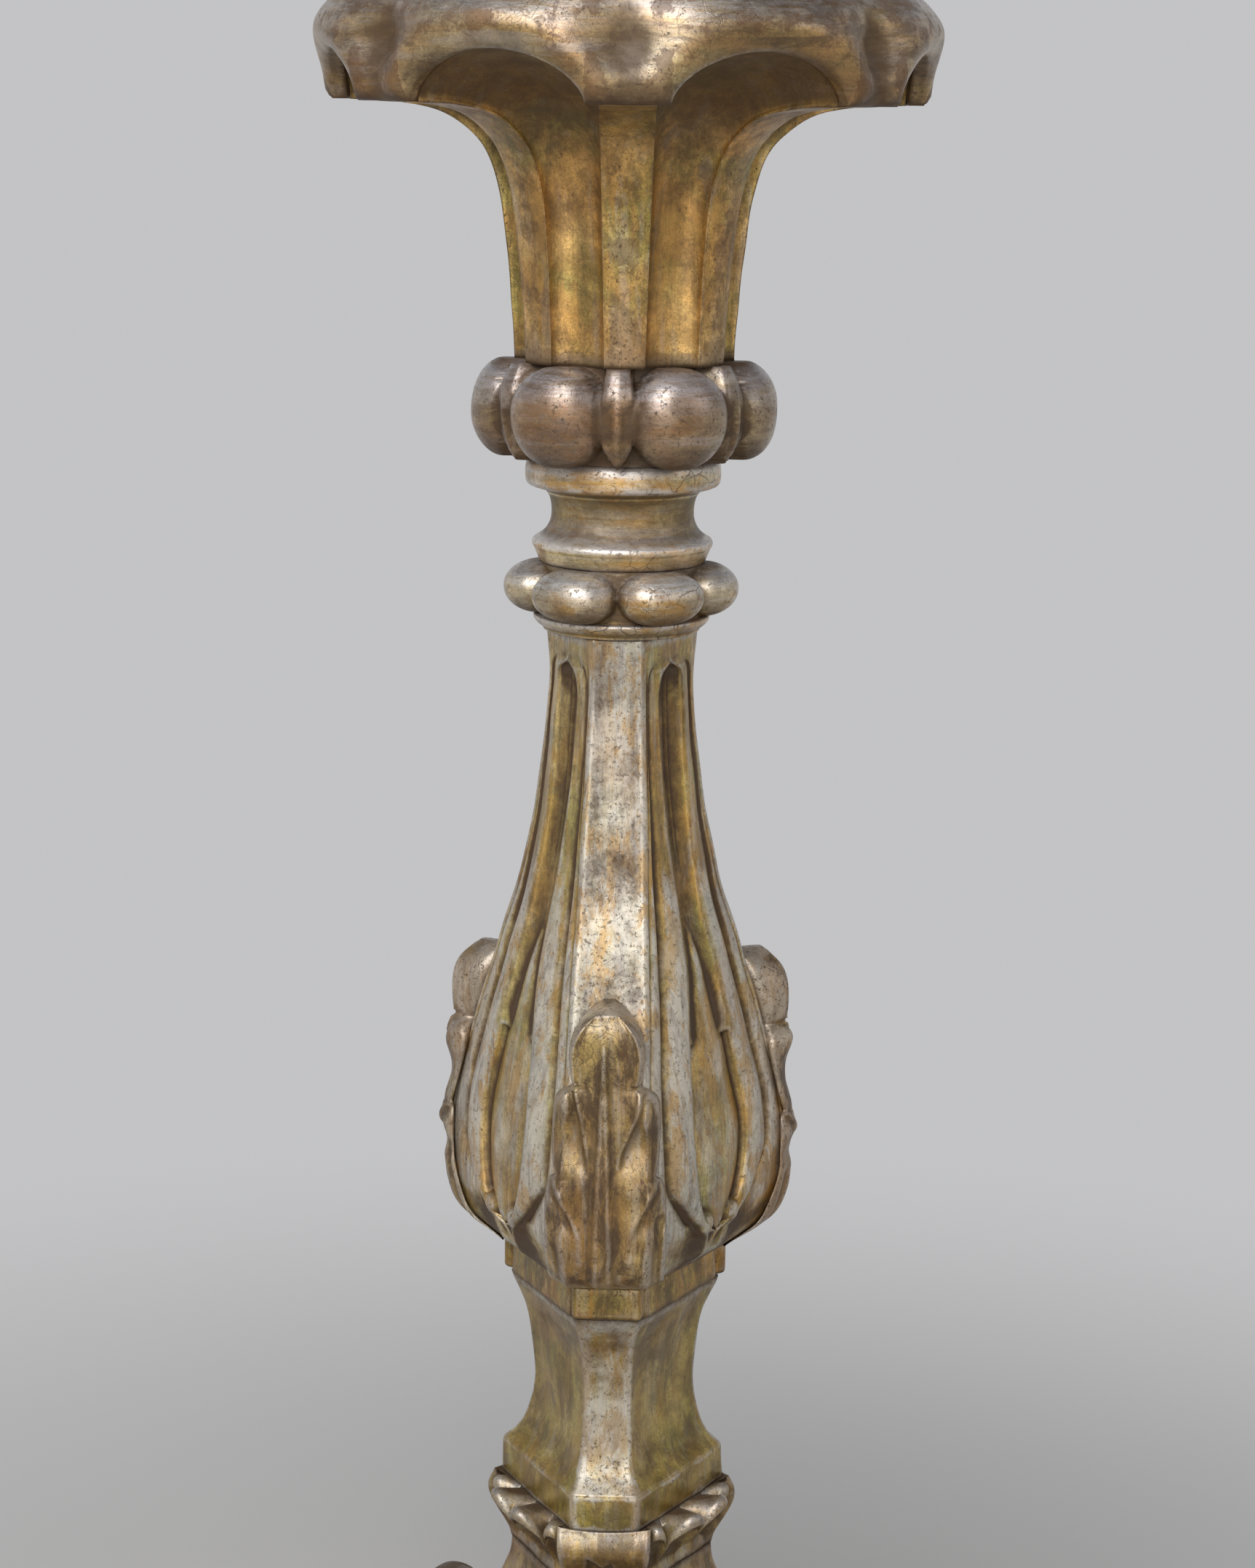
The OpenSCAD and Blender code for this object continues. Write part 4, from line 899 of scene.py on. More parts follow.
baluster = {
    "throat": 38, "belly": 97.5, "throatFacet": 28, "bellyFacet": 47, "podHalf": 28, "channelDepth": 4.2,
    "lipHeight": 3.4, "podEdge": 3.4, "grooveDepth": 2.8, "lineDepth": 1.2, "lipBead": 0.7, "budAway": 14,
    "budLevel": 31, "budHalf": 7.6, "budAbove": 6.5, "budBelow": 9, "budHeight": 4.6, "bandTop": 34,
    "grooveWidth": 4.2, "arrisBand": 4.4, "rows": 236, "carved": 0.35, "facetRub": 0.95,
}
bellyOutline = [
    [0, 0.52], [0.03, 0.84], [0.07, 0.97], [0.13, 1], [0.2, 0.98], [0.28, 0.88], [0.37, 0.73], [0.49, 0.5],
    [0.62, 0.255], [0.74, 0.11], [0.9, 0], [1, 0.03],
]
bellyWidening = [[0, 0.7], [0.13, 1], [0.36, 0.79], [0.49, 0.63], [0.62, 0.4], [0.9, 0.02], [1, 0]]
teardrop = [
    [0.065, 0], [0.08, 0.4], [0.12, 0.78], [0.19, 1], [0.28, 0.95], [0.4, 0.68], [0.53, 0.42],
    [0.66, 0.385], [0.8, 0.39], [0.9, 0.4], [0.925, 0.36], [0.945, 0.25], [0.957, 0],
]
podShare = [[0.36, 1], [0.42, 0.9], [0.49, 0.62], [0.54, 0.3], [0.565, 0.02]]
podTop = [[0.42, 2.2], [0.5, 0.9], [0.56, -2.2]]
rollShare = [[0, 0.2], [0.07, 0.25], [0.12, 0.55], [0.18, 1], [1, 1]]
# stations over half a wide face: share of the pod, of the frame's roll, of the groove and of the outer band
podStations = [0, 0.1, 0.2, 0.3, 0.4, 0.5, 0.6, 0.7, 0.78, 0.85, 0.9, 0.94, 0.97, 1]
rollStations = [0.1, 0.22, 0.36, 0.5, 0.64, 0.78, 0.9, 1]
bandStations = [0.2, 0.45, 0.7, 0.9, 1]


def balusterReach(t):
    return mix(baluster["throat"], baluster["belly"], curve(bellyOutline, t))


def balusterFacet(t):
    return mix(baluster["throatFacet"], baluster["bellyFacet"], curve(bellyWidening, t))


def faceStations(t, wide):
    # distances from the middle of a wide face and heights over its plane, out to just inside the arris
    inner = baluster["podHalf"] * curve(teardrop, t) if teardrop[0][0] < t < teardrop[-1][0] else 0
    inner = max(inner, 0.4)
    fade = float(ease(t, 0.045, 0.085) * (1 - ease(t, 0.945, 0.965)))
    lip = fade * baluster["lipHeight"] * min(1, (wide - inner) / 36) * float(1 - 0.45 * ease(t, 0.5, 0.75))
    roll = 0.48 * (wide - inner) * float(curve(rollShare, t))
    outer = inner + 1 + roll
    groove = min(baluster["grooveWidth"], 0.12 * wide)
    throat = float(1 - 0.8 * ease(t, 0.5, 0.72))  # the frame lies flatter on the throat
    a = np.array(podStations)
    x = a * inner
    channel = lip - baluster["channelDepth"] * fade * np.maximum(1 - a ** 2, 0) ** 0.75
    pod = float(curve(podShare, t)) if t > podShare[0][0] else 1
    b = a / max(pod, 0.02)
    peak = float(curve(podTop, t))
    swell = peak - (peak + baluster["podEdge"]) * np.minimum(b, 1) ** 2.1
    wall = ease(a, 0.93, 1) * (lip + baluster["podEdge"])
    inside = np.where(b < 1.001, np.maximum(swell, channel) if pod < 0.98 else swell, channel)
    walled = (a > 0.93) & (pod > 0.9)
    heights = np.where(walled, np.maximum(inside, wall - baluster["podEdge"]), inside)
    heights = np.where(a == 1, lip, heights) * (fade if pod > 0.98 else 1)
    u = np.array(rollStations)
    x = np.concatenate([x, [inner + 1], inner + 1 + u * roll, [outer + 0.5 * groove, outer + groove]])
    rollHeights = lip * (1 - u ** 1.6) + 2.1 * fade * np.sin(math.pi * u) * min(1, roll / 14) * throat
    rollHeights += baluster["lipBead"] * fade * hump(u, 0.1, 0.16)
    heights = np.concatenate([heights, [lip + 0.1], rollHeights,
                              [-baluster["grooveDepth"] * fade * throat, -0.3 * fade]])
    v = np.array(bandStations)
    x = np.concatenate([x, mix(outer + groove, wide - baluster["arrisBand"], v),
                        [wide - 3.5, wide - 2.6, wide - 1.3]])
    heights = np.concatenate([heights, 0.9 * fade * throat * np.sin(math.pi * v),
                              [-baluster["lineDepth"] * fade * throat, 0, 0.05]])
    return x, heights


def bud(x, level):
    away = (np.abs(x) - baluster["budAway"]) / baluster["budHalf"]
    rise = level - baluster["budLevel"]
    rise = rise / (baluster["budAbove"] if rise > 0 else baluster["budBelow"])
    inside = 1 - away ** 2 - rise ** 2
    return np.where(inside > 0, baluster["budHeight"] * np.maximum(inside, 0) ** 0.55, -9)


def makeBaluster():
    base, top = levels("baluster")
    tall = top - base
    halfFacet = [0, 0.22, 0.45, 0.66, 0.84, 0.92, 0.97, 1]
    across = np.array([-v for v in halfFacet[:0:-1]] + halfFacet)
    fillet = 0.45 * hump(np.abs(across), 0.9, 0.07) - 0.5 * (1 - across ** 2)
    fillet = np.where(np.abs(across) == 1, -0.35, fillet)
    rows = []
    for t in np.linspace(0, 1, baluster["rows"]):
        reach, facet = float(balusterReach(t)), float(balusterFacet(t))
        wide, ahead = faceHalf(reach, facet), faceReach(reach, facet)
        x, heights = faceStations(t, wide)
        level = t * tall
        heights = np.maximum(heights, bud(x, level))
        if level < baluster["bandTop"]:  # two bands run down from the buds to the foot
            ending = ease(level, baluster["bandTop"] - 8, baluster["bandTop"])
            strength = float(ease(level, 2, 12) * (1 - ending))
            middle = mix(8, 13, level / 30)
            heights = np.maximum(heights, strength * (2.4 * hump(x, middle, 4.2) - 0.9 * hump(x, 0, 2.5)))
        x = np.concatenate([-x[:0:-1], x])
        heights = np.concatenate([heights[:0:-1], heights])
        ring = []
        for turn in legTurns:
            ring.append(turned(reach + fillet, across * (facet / 2 - 0.2), turn, base + level))
            ring.append(turned(ahead + heights, x, turn + 60, base + level))
        rows.append(np.concatenate(ring))
    rows = carverHand(np.stack(rows), baluster["carved"], 55)
    piece = shell("carvedBaluster", rows)

    def rubbed(points):  # painted reflection: a pale sheen laid over the narrow facets
        share = np.clip(((points[:, 2] - base) / tall * 100).astype(int), 0, 100)
        half = balusterFacet(np.linspace(0, 1, 101))[share] / 2
        worth = sum((ahead > 0) * ease(half - aside, -0.6, 0.6)
                    for ahead, aside in (fromFacet(points, turn) for turn in legTurns))
        return baluster["facetRub"] * worth

    return finishPiece(piece, "baluster", balusterGilding, deep=2, joints=(0.6, 0.6),
                       rubbed=rubbed)


makeBaluster()
print("baluster carved")


# ---- acanthus leaves ----

leaf = {
    "tall": 166, "flat": 5, "tip": 26, "gap": 0.2, "rows": 168, "frontColumns": 71, "backColumns": 13,
    "veinHeight": 1.7, "midStep": 3.4, "lowStep": 2.8, "midTip": 5.5, "lowTip": 4.5, "rim": 1.3,
    "carved": 0.25,
}
leafHalf = [
    [0, 31], [0.08, 32], [0.16, 33], [0.3, 33], [0.4, 32], [0.435, 30], [0.448, 27.6], [0.458, 27.4],
    [0.48, 28.4], [0.56, 29], [0.64, 29], [0.7, 27.5], [0.728, 23.5], [0.745, 18.6], [0.76, 18.8],
    [0.8, 20], [0.86, 20.4], [0.91, 18.4], [0.95, 14.6], [0.98, 9.4], [1, 3.5],
]
leafCurl = [[0, 0], [0.35, 0.04], [0.58, 0.24], [0.72, 0.52], [0.84, 0.8], [0.94, 1], [1, 0.8]]
veinHalf = [[0, 5.2], [0.06, 5.2], [0.35, 4.4], [0.6, 2.7], [0.89, 0.9]]
leftCrease = [[0.44, 8.5], [0.53, 11], [0.66, 14.6], [0.76, 18]]
rightCrease = [[0.44, 7.5], [0.52, 9], [0.6, 14], [0.68, 19], [0.76, 20]]
lowCrease = [[0.24, 15], [0.3, 18.5], [0.42, 28.5]]


def leafRelief(x, t, half):
    # height of the leaf's front over its flat body, at x from the middle and a share t of its height
    away = np.abs(x)
    side = np.where(x < 0, curve(leftCrease, t), curve(rightCrease, t))
    share = away / max(half, 1)
    height = -0.26 * share ** 2.4 * mix(leaf["flat"], 9, float(ease(t, 0.3, 0.8)))
    crease = float(ease(t, 0.45, 0.56) * (1 - ease(t, 0.745, 0.775)))
    height = height - crease * leaf["midStep"] * ease(away, side - 1, side + 1)
    height += crease * 0.9 * hump(away, side - 1.6, 1.5)
    tipLevel = np.where(x < 0, 0.7, 0.665)
    height += leaf["midTip"] * hump(away, 22.5, 6.5) * hump(t, tipLevel, 0.06) * (1 if t < 0.745 else 0)
    low = float(ease(t, 0.24, 0.31) * (1 - ease(t, 0.435, 0.45)))
    lowSide = float(curve(lowCrease, t))
    height -= low * leaf["lowStep"] * ease(away, lowSide - 1, lowSide + 1)
    height += low * 0.7 * hump(away, lowSide - 1.6, 1.4)
    height += leaf["lowTip"] * hump(away, 28.5, 6) * hump(t, 0.375, 0.055) * (1 if t < 0.44 else 0)
    groove = float(ease(t, 0.02, 0.05) * (1 - ease(t, 0.28, 0.33)))
    height -= groove * 4.2 * hump(x, mix(26, 30, t / 0.325), 2.4, 4)
    curl = float(ease(t, 0.03, 0.08) * (1 - ease(t, 0.2, 0.26)))
    height -= curl * 2 * hump(x, -mix(23, 28, t / 0.25), 1.8)
    vein = float(curve(veinHalf, t))
    strength = float(1 - ease(t, 0.86, 0.92))
    height += strength * leaf["veinHeight"] * ease(vein - np.abs(x + 1), -1.6, 1.2)
    height -= strength * 0.35 * hump(np.abs(x + 1), vein + 2, 1.8)
    height -= strength * 0.35 * hump(x + 1, 0, vein * 0.5)
    fold = float(ease(t, 0.04, 0.2) * (1 - ease(t, 0.4, 0.5)))
    height += fold * 1.5 * hump(away, 14, 5)
    return height


def makeLeaf(node, turn, name, points):
    piece = shell(name, points)
    turnPiece(piece, turn)

    def rubbed(points):  # the top of the curled tip catches the light
        return 0.7 * ease(points[:, 2] - points[:, 2].max(), -7, -1)

    return finishPiece(piece, node, leafGilding, joints=(0.25, 0), steps=16, rubbed=rubbed)


def leafRows():
    base, balusterTop = levels("baluster")
    tall = balusterTop - base
    across = np.sin(np.linspace(-90, 90, leaf["frontColumns"]) * math.pi / 180)
    across = 0.55 * across + 0.45 * np.linspace(-1, 1, leaf["frontColumns"])
    back = np.linspace(1, -1, leaf["backColumns"] + 2)[1:-1]
    levelsOfT = np.unique(np.concatenate([np.linspace(0, 1, leaf["rows"]), np.linspace(0.425, 0.455, 8),
                                          np.linspace(0.72, 0.76, 10), np.linspace(0.96, 1, 10)]))
    rows = []
    for t in levelsOfT:
        share = t * leaf["tall"] / tall
        z = base + t * leaf["tall"]
        reach, facet = float(balusterReach(share)) + leaf["gap"], float(balusterFacet(share)) / 2
        half = float(curve(leafHalf, t))
        thick = mix(leaf["flat"], leaf["tip"], float(curve(leafCurl, t)))
        x = across * half
        edge = np.clip((1 - np.abs(across)) * half / 2.2, 0, 1)
        top = thick + leafRelief(x, t, half)
        if t > 0.76:
            nearEdge = np.minimum(half * (1 - np.abs(across)), (1 - t) * leaf["tall"])
            top += leaf["rim"] * hump(nearEdge, 2.4, 1.8)
        top = np.maximum(top, 1.2) * (0.35 + 0.65 * np.sqrt(1 - (1 - edge) ** 2))
        top = top * mix(0.12, 1, float(ease(t, 0, 0.06)))
        low = 1 - float(ease(t, 0.1, 0.3))
        ring = []
        for aside, height, fold in ((x, top, mix(1, 1.4, low)), (back * half, 0, mix(1.2, 1.6, low))):
            depth = fold * np.maximum(np.abs(aside) - facet, 0) - reach - height
            ring.append(np.stack([aside, depth, np.full_like(aside, z)], -1))
        rows.append(np.concatenate(ring))
    return np.stack(rows)


leafPoints = leafRows()
for leafNode, leafTurn, leafName in (("leaf_front", 0, "acanthusFront"), ("leaf_right", 120, "acanthusRight"),
                                     ("leaf_left", 240, "acanthusLeft")):
    makeLeaf(leafNode, leafTurn, leafName, carverHand(leafPoints.copy(), leaf["carved"], 30))
print("leaves carved")


# ---- key ring, waist and crown ----

def softArris(count):
    return np.sin(np.linspace(-90, 90, count) * math.pi / 180) * 0.35 + np.linspace(-1, 1, count) * 0.65


def threeSidedRow(reach, facet, height, faceCount=41, arris=0.5, faceCurve=0.0, soft=1.2):
    ring = []
    s, f = softArris(17), softArris(faceCount)[1:-1]
    wide, ahead = faceHalf(reach, facet), faceReach(reach, facet)
    for turn in legTurns:
        corner = arris * np.maximum(0, (np.abs(s) * facet / 2 - facet / 2 + soft) / soft) ** 2
        ring.append(turned(reach - corner, s * (facet / 2 - 0.15 * arris), turn, height))
        corner = arris * np.maximum(0, (np.abs(f) * wide - wide + soft) / soft) ** 2
        ring.append(turned(ahead - corner - faceCurve * (1 - f ** 2), f * wide, turn + 60, height))
    return np.concatenate(ring)


def roundedBox(name, size, place, bevel, turn):
    bpy.ops.mesh.primitive_cube_add(size=1)
    box = bpy.context.object
    box.name = name
    bpy.ops.object.mode_set(mode="EDIT")
    bpy.ops.mesh.select_all(action="SELECT")
    bpy.ops.transform.resize(value=[v * mm for v in size], center_override=(0, 0, 0))
    bpy.ops.transform.translate(value=[v * mm for v in place])
    bpy.ops.mesh.bevel(offset=bevel * mm, segments=4, affect="EDGES")
    bpy.ops.mesh.select_all(action="SELECT")
    bpy.ops.mesh.subdivide(number_cuts=3)
    bpy.ops.object.mode_set(mode="OBJECT")
    turnPiece(box, turn)
    return box


keyRing = {
    "reach": 59, "tall": 23, "keyWidth": 39, "keyHeight": 20.5, "keyProud": 4.5, "keySunk": 6,
    "keyBevel": 3, "back": 2.2, "carved": 0.3,
}
# height, distance from the axis and width of the narrow facet
keyRingOutline = [
    (0, 57.4, 40.5), (0.6, 58.1, 41), (1.8, 58.7, 41.5), (3.5, 59, 42), (7, 59.1, 42), (10, 59, 42),
    (14, 58.8, 42), (17.5, 58.5, 41.8), (20, 58, 41.6), (21.6, 57.2, 41.2), (22.5, 56.2, 40.6),
    (23, 55, 40),
]


def makeKeyRing():
    base, top = levels("key_ring")
    tall = keyRing["tall"]
    rows = []
    for z in np.unique(np.concatenate([np.linspace(0, tall, 40), [0.3, 0.9, tall - 0.8, tall - 0.2]])):
        reach, facet = (float(curve([(p[0], p[k]) for p in keyRingOutline], z)) for k in (1, 2))
        height = base + z * (top - base) / tall
        rows.append(threeSidedRow(reach - keyRing["back"], facet, height, arris=1.6, soft=4))
    rows = carverHand(np.stack(rows), keyRing["carved"], 40)
    hole = [atReach(ring, bore) for ring in (rows[-1], rows[0])]
    parts = [shell("keyRing", np.concatenate([rows, hole]), bored=True)]
    depth = keyRing["keyProud"] + keyRing["keySunk"]
    size = (keyRing["keyWidth"], depth, keyRing["keyHeight"])
    place = (0, -keyRing["reach"] - keyRing["keyProud"] + depth / 2, (base + top) / 2)
    parts += [roundedBox("key", size, place, keyRing["keyBevel"], turn) for turn in legTurns]
    return finishPiece(join("keyRing", parts), "key_ring", ringGilding, deep=0.9, steps=12)


waist = {
    "reach": 46.5, "facet": 25.5, "blockReach": 64, "blockFacet": 37.5, "blockTall": 21.5,
    "faceHollow": 0.7, "carved": 0.5, "facetRub": 0.9, "rubTall": 62,
}
waistOutline = [
    [0, 1], [0.07, 0.55], [0.16, 0.24], [0.3, 0.05], [0.46, 0], [0.66, 0.08], [0.8, 0.25], [0.9, 0.5],
    [0.96, 0.68], [1, 0.76],
]


def makeWaist():
    base, top = levels("waist")
    shaft = top - base - waist["blockTall"]
    rows = []
    sides = [(z, 0) for z in np.linspace(2.2, 19.2, 22)]
    for z, inset in [(0, 0.9), (0.5, 0.25), (1.4, 0)] + sides + [(20.3, 0.2), (21.2, 0.8)]:
        reach, facet = waist["blockReach"] - inset, waist["blockFacet"] - inset
        rows.append(threeSidedRow(reach, facet, base + z, arris=0.7))
    for t in np.linspace(0, 1, 84) ** 1.15:
        share = float(curve(waistOutline, t))
        reach = mix(waist["reach"], waist["blockReach"] - 0.8, share)
        facet = mix(waist["facet"], waist["blockFacet"] - 0.6, share)
        height = base + waist["blockTall"] + t * shaft
        hollow = waist["faceHollow"] * float(hump(t, 0.45, 0.3))
        rows.append(threeSidedRow(reach, facet, height, arris=0.6, faceCurve=hollow))
    rows = carverHand(np.stack(rows), waist["carved"], 50)

    def rubbed(points):  # painted highlight: a pale sheen on the narrow facets over the block, strongest near their foot
        rise = points[:, 2] - base - waist["blockTall"]
        besides = [fromFacet(points, turn) for turn in legTurns]
        worth = sum((ahead > 0) * ease(0.34 * ahead - 1.5 - aside, -3, 3) for ahead, aside in besides)
        return waist["facetRub"] * worth * ease(rise, -1, 1) * (1 - 0.25 * ease(rise, 8, waist["rubTall"]))

    piece = shell("threeSidedWaist", rows)
    return finishPiece(piece, "waist", waistGilding, deep=0.9, steps=14, rubbed=rubbed)


makeKeyRing()
makeWaist()
print("key ring and waist made")


crown = {
    "neckReach": 56, "neckFacet": 36, "panelHalf": 26.5, "panelReach": 68.5, "smallEnd": 35.5,
    "lobeReach": 71.5, "lobeBack": 11, "lobeTop": 44.5, "lobeDrop": 15, "smallReach": 68.5, "smallLower": 3,
    "ridgeReach": 68, "hollow": 6, "roll": 4, "sideRoll": 2.2, "seat": 39.8, "seatInside": 14,
    "notchDepth": 5, "panelSag": 2.6, "carved": 0.35,
}
panelOutline = [
    [0, 57.6], [6, 58.4], [12, 60.6], [17, 63.6], [22, 66.6], [27, 68.8], [31, 69.4], [35, 68.8],
    [38.5, 67.3], [41.5, 65.6], [43.2, 64.8],
]
panelHalf = [[0, 18.6], [6, 20], [12, 22.4], [20, 24.6], [30, 26], [44, 26.5]]
crownFlare = [[0, 0.02], [5, 0.03], [10, 0.1], [16, 0.3], [22, 0.54], [28, 0.77], [34, 0.92], [44, 1]]


def crownColumns():
    # each column's angle, its place across its panel or lobe, and which of them it stands in
    edge = math.degrees(math.atan2(crown["panelHalf"], 66)) + 0.5
    shares = np.concatenate([[-1, -0.985, -0.95], np.linspace(-0.91, 0.91, 57), [0.95, 0.985, 1]])
    panel = [(math.degrees(math.atan2(x, crown["panelReach"])), x, "panel")
             for x in shares * crown["panelHalf"]]
    small = [(mix(edge, crown["smallEnd"], k), mix(0.6, -1, k), "small")
             for k in np.sin(np.radians(np.linspace(0, 90, 19)))]
    large = [(mix(crown["smallEnd"], 60, (k + 1) / 2), k, "large")
             for k in np.sin(np.radians(np.linspace(-90, 90, 35)))[1:]]
    half = small + large
    return panel + half + [(120 - angle, -place, kind) for angle, place, kind in half[-2::-1]]


def panelColumn(x):
    # a scrolled panel with two pointed notches cut up into it
    z = np.concatenate([np.linspace(0, 30, 28), np.linspace(31, 43.2, 15)])
    left, right = x + 9.3, x - 4.7
    peak = max(27.5 - (6 if left < 0 else 1.1) * abs(left), 23.5 - (4 if right > 0 else 0.9) * abs(right))
    ahead = curve(panelOutline, z) - crown["notchDepth"] * ease(peak - z, 0, 2.2) * ease(z, 1, 6)
    ahead = ahead - 1.6 * max(0, (abs(x) - 24.8) / 1.7) ** 2
    aside = x / crown["panelHalf"] * curve(panelHalf, z)
    r, angle = np.hypot(ahead, aside), np.degrees(np.arctan2(aside, ahead))
    z = z - crown["panelSag"] * (1 - (x / crown["panelHalf"]) ** 2) * ease(z, 18, 34)
    tail = [(r[-1] - 0.7, z[-1] - 0.3), (r[-1] - 1.1, crown["seat"] + 0.5), (r[-1] - 4, crown["seat"]),
            (40, crown["seat"]), (crown["seatInside"], crown["seat"])]
    angle = np.concatenate([angle, np.full(len(tail), angle[-1])])
    return np.concatenate([r, [p[0] for p in tail]]), angle, np.concatenate([z, [p[1] for p in tail]])


def lobeColumn(angle, place, small, neck):
    # a hollow that swells from the neck to a lobe's rolled edge
    arch = max(0, 1 - abs(place) ** 1.8) ** 0.75
    top = crown["lobeTop"] - crown["lobeDrop"] * (1 - arch) - (crown["smallLower"] if small else 0)
    reach = crown["smallReach" if small else "lobeReach"] - crown["lobeBack"] * (1 - arch)
    roll = mix(crown["sideRoll"], crown["roll"], arch)
    z = np.linspace(0, top - 2.1 * roll, 28)
    r = mix(neck, crown["ridgeReach"], curve(crownFlare, z))
    r = np.minimum(r - crown["hollow"] * (1 - abs(place) ** 2.5) * ease(z, 3, 16), reach - 1.2)
    turn = np.radians(np.linspace(-100, 95, 15))
    block = min(48.6 / math.cos(math.radians(60 - angle % 120)), 66)
    inner = min(block + 1.2, reach - roll - 2.5)
    lip = mix(top, 40.4, 0.55)
    tail = [(mix(inner, reach - roll, 0.6), lip + 0.4), (inner, min(lip, crown["seat"] + 0.8)),
            (inner - 3, crown["seat"]), (36, crown["seat"]), (crown["seatInside"], crown["seat"])]
    r = np.concatenate([r, reach - roll + roll * np.cos(turn), [p[0] for p in tail]])
    return r, angle, np.concatenate([z, top - roll + roll * np.sin(turn), [p[1] for p in tail]])


def makeCrown():
    base = levels("scroll_crown")[0]
    neckRing = threeSidedRow(crown["neckReach"], crown["neckFacet"], 0, faceCount=61)
    around = np.degrees(np.arctan2(neckRing[:, 0], -neckRing[:, 1])) % 360
    order = np.argsort(around)
    reaches = np.hypot(neckRing[:, 0], neckRing[:, 1])[order]
    columns = []
    for turn in legTurns:
        for angle, place, kind in crownColumns():
            neck = np.interp((turn + angle) % 360, around[order], reaches, period=360)
            if kind == "panel":
                r, angle, z = panelColumn(place)
            else:
                r, angle, z = lobeColumn(angle, place, kind == "small", neck)
            columns.append(polar(r, angle + turn, base + z))
    rows = carverHand(np.stack(columns, 1), crown["carved"], 40)
    piece = shell("scrollCrown", rows)
    return finishPiece(piece, "scroll_crown", crownGilding, deep=1.6, steps=24,
                       joints=(1, 0))


makeCrown()
print("crown carved")


# ---- base ----

core = {
    "reach": 66, "facet": 44, "neckReach": 57.5, "neckFacet": 37, "flareTall": 28, "panelDepth": 2.2,
    "frame": 9, "carved": 0.3,
}


def makeCore():
    base, top = levels("base_core")
    tall = top - base
    flare = tall - core["flareTall"]
    narrowing = [[0, 0], [flare - 14, 0], [flare, 0.12], [flare + 9.3, 0.5], [flare + 18.7, 0.88], [tall, 1]]
    rows = []
    for z in np.unique(np.concatenate([np.linspace(0, flare - 16, 60), np.linspace(flare - 16, tall, 34)])):
        share = float(curve(narrowing, z))
        reach = mix(core["reach"], core["neckReach"], share)
        facet = mix(core["facet"], core["neckFacet"], share)
        panel = core["panelDepth"] * float(ease(z, 14, 18) * (1 - ease(z, flare - 26, flare - 22)))
        ring = threeSidedRow(reach, facet, base + z, faceCount=51)
        wide = faceHalf(reach, facet)
        angle = np.degrees(np.arctan2(ring[:, 0], -ring[:, 1]))
        fromFace = np.radians(fromNearest(angle - 60, 3))
        across = faceReach(reach, facet) * np.tan(np.clip(fromFace, -1.2, 1.2))
        sunk = panel * ease(wide - np.abs(across), core["frame"], core["frame"] + 3)
        ring[:, :2] *= (1 - sunk / np.hypot(ring[:, 0], ring[:, 1]))[:, None]
        rows.append(ring)
    rows = carverHand(np.stack(rows), core["carved"], 50)
    return finishPiece(shell("baseCore", rows), "base_core", baseGilding)


leg = {
    "toe": (134, 36, 36), "shoulder": (118, 196, 31), "sweep": 34, "width": 44, "band": 7, "rollWidth": 40,
    "rollThick": 4, "webWidth": 33, "webBevel": 1.2, "eye": 12, "eyeWidth": 46, "eyeDome": 3,
    "leafScale": 0.62,
}


def stepsAlong(path):  # unit steps along a path of (ahead, height) points, and the same turned a quarter
    along = np.gradient(path, axis=0)
    along /= np.linalg.norm(along, axis=1)[:, None]
    return along, np.stack([-along[:, 1], along[:, 0]], -1)


def ribbon(name, path, width, thick, roundness=0.35, steps=6):
    # a band swept along a path, wide across the path, with rounded edges
    corner = np.linspace(0, math.pi / 2, steps)
    rows = []
    for p, n, w, t in zip(path, stepsAlong(path)[1], width, thick):
        r = roundness * min(w, t)
        corners = []
        for k, (sx, sy) in enumerate(((1, 1), (-1, 1), (-1, -1), (1, -1))):
            angle = corner + k * math.pi / 2
            x, y = sx * (w / 2 - r) + r * np.cos(angle), sy * (t / 2 - r) + r * np.sin(angle)
            corners.append(np.stack([x, y], -1))
        corners = np.concatenate(corners)
        section = []
        for point, after in zip(corners, np.roll(corners, -1, 0)):
            gap = np.linalg.norm(after - point)
            cuts = (0, 0.2, 0.4, 0.6, 0.8) if gap > w / 4 else (0, 0.5) if gap > t / 4 else (0,)
            section += [mix(point, after, cut) for cut in cuts]
        aside, out = np.array(section).T
        rows.append(np.stack([aside, n[0] * out - p[0], p[1] - n[1] * out], -1))
    return shell(name, np.stack(rows))


def spiral(middle, outer, inner, start, turns, count):
    # points of a spiral that closes in from its outside, in the plane of ahead and height
    share = np.linspace(0, 1, count)
    angle = np.radians(start) + share * turns * 2 * math.pi
    reach = outer * (inner / outer) ** share
    return np.stack([middle[0] + reach * np.cos(angle), middle[1] + reach * np.sin(angle)], -1)


def disc(name, middle, radius, width, dome, around):
    # a round plate that stands on edge, its axis across the band, with soft rims and a slight dome
    side = width / 2
    half = [(0, 1), (side - 0.8, 1), (side, 0.94), (side + dome * 0.55, 0.75), (side + dome, 0.45)]
    a = np.arange(around) * 2 * math.pi / around
    rows = [np.stack([np.full(around, x), -(middle[0] + radius * share * np.sin(a)),
                      middle[1] - radius * share * np.cos(a)], -1)
            for x, share in [(-x, share) for x, share in half[:0:-1]] + half]
    return shell(name, np.stack(rows))


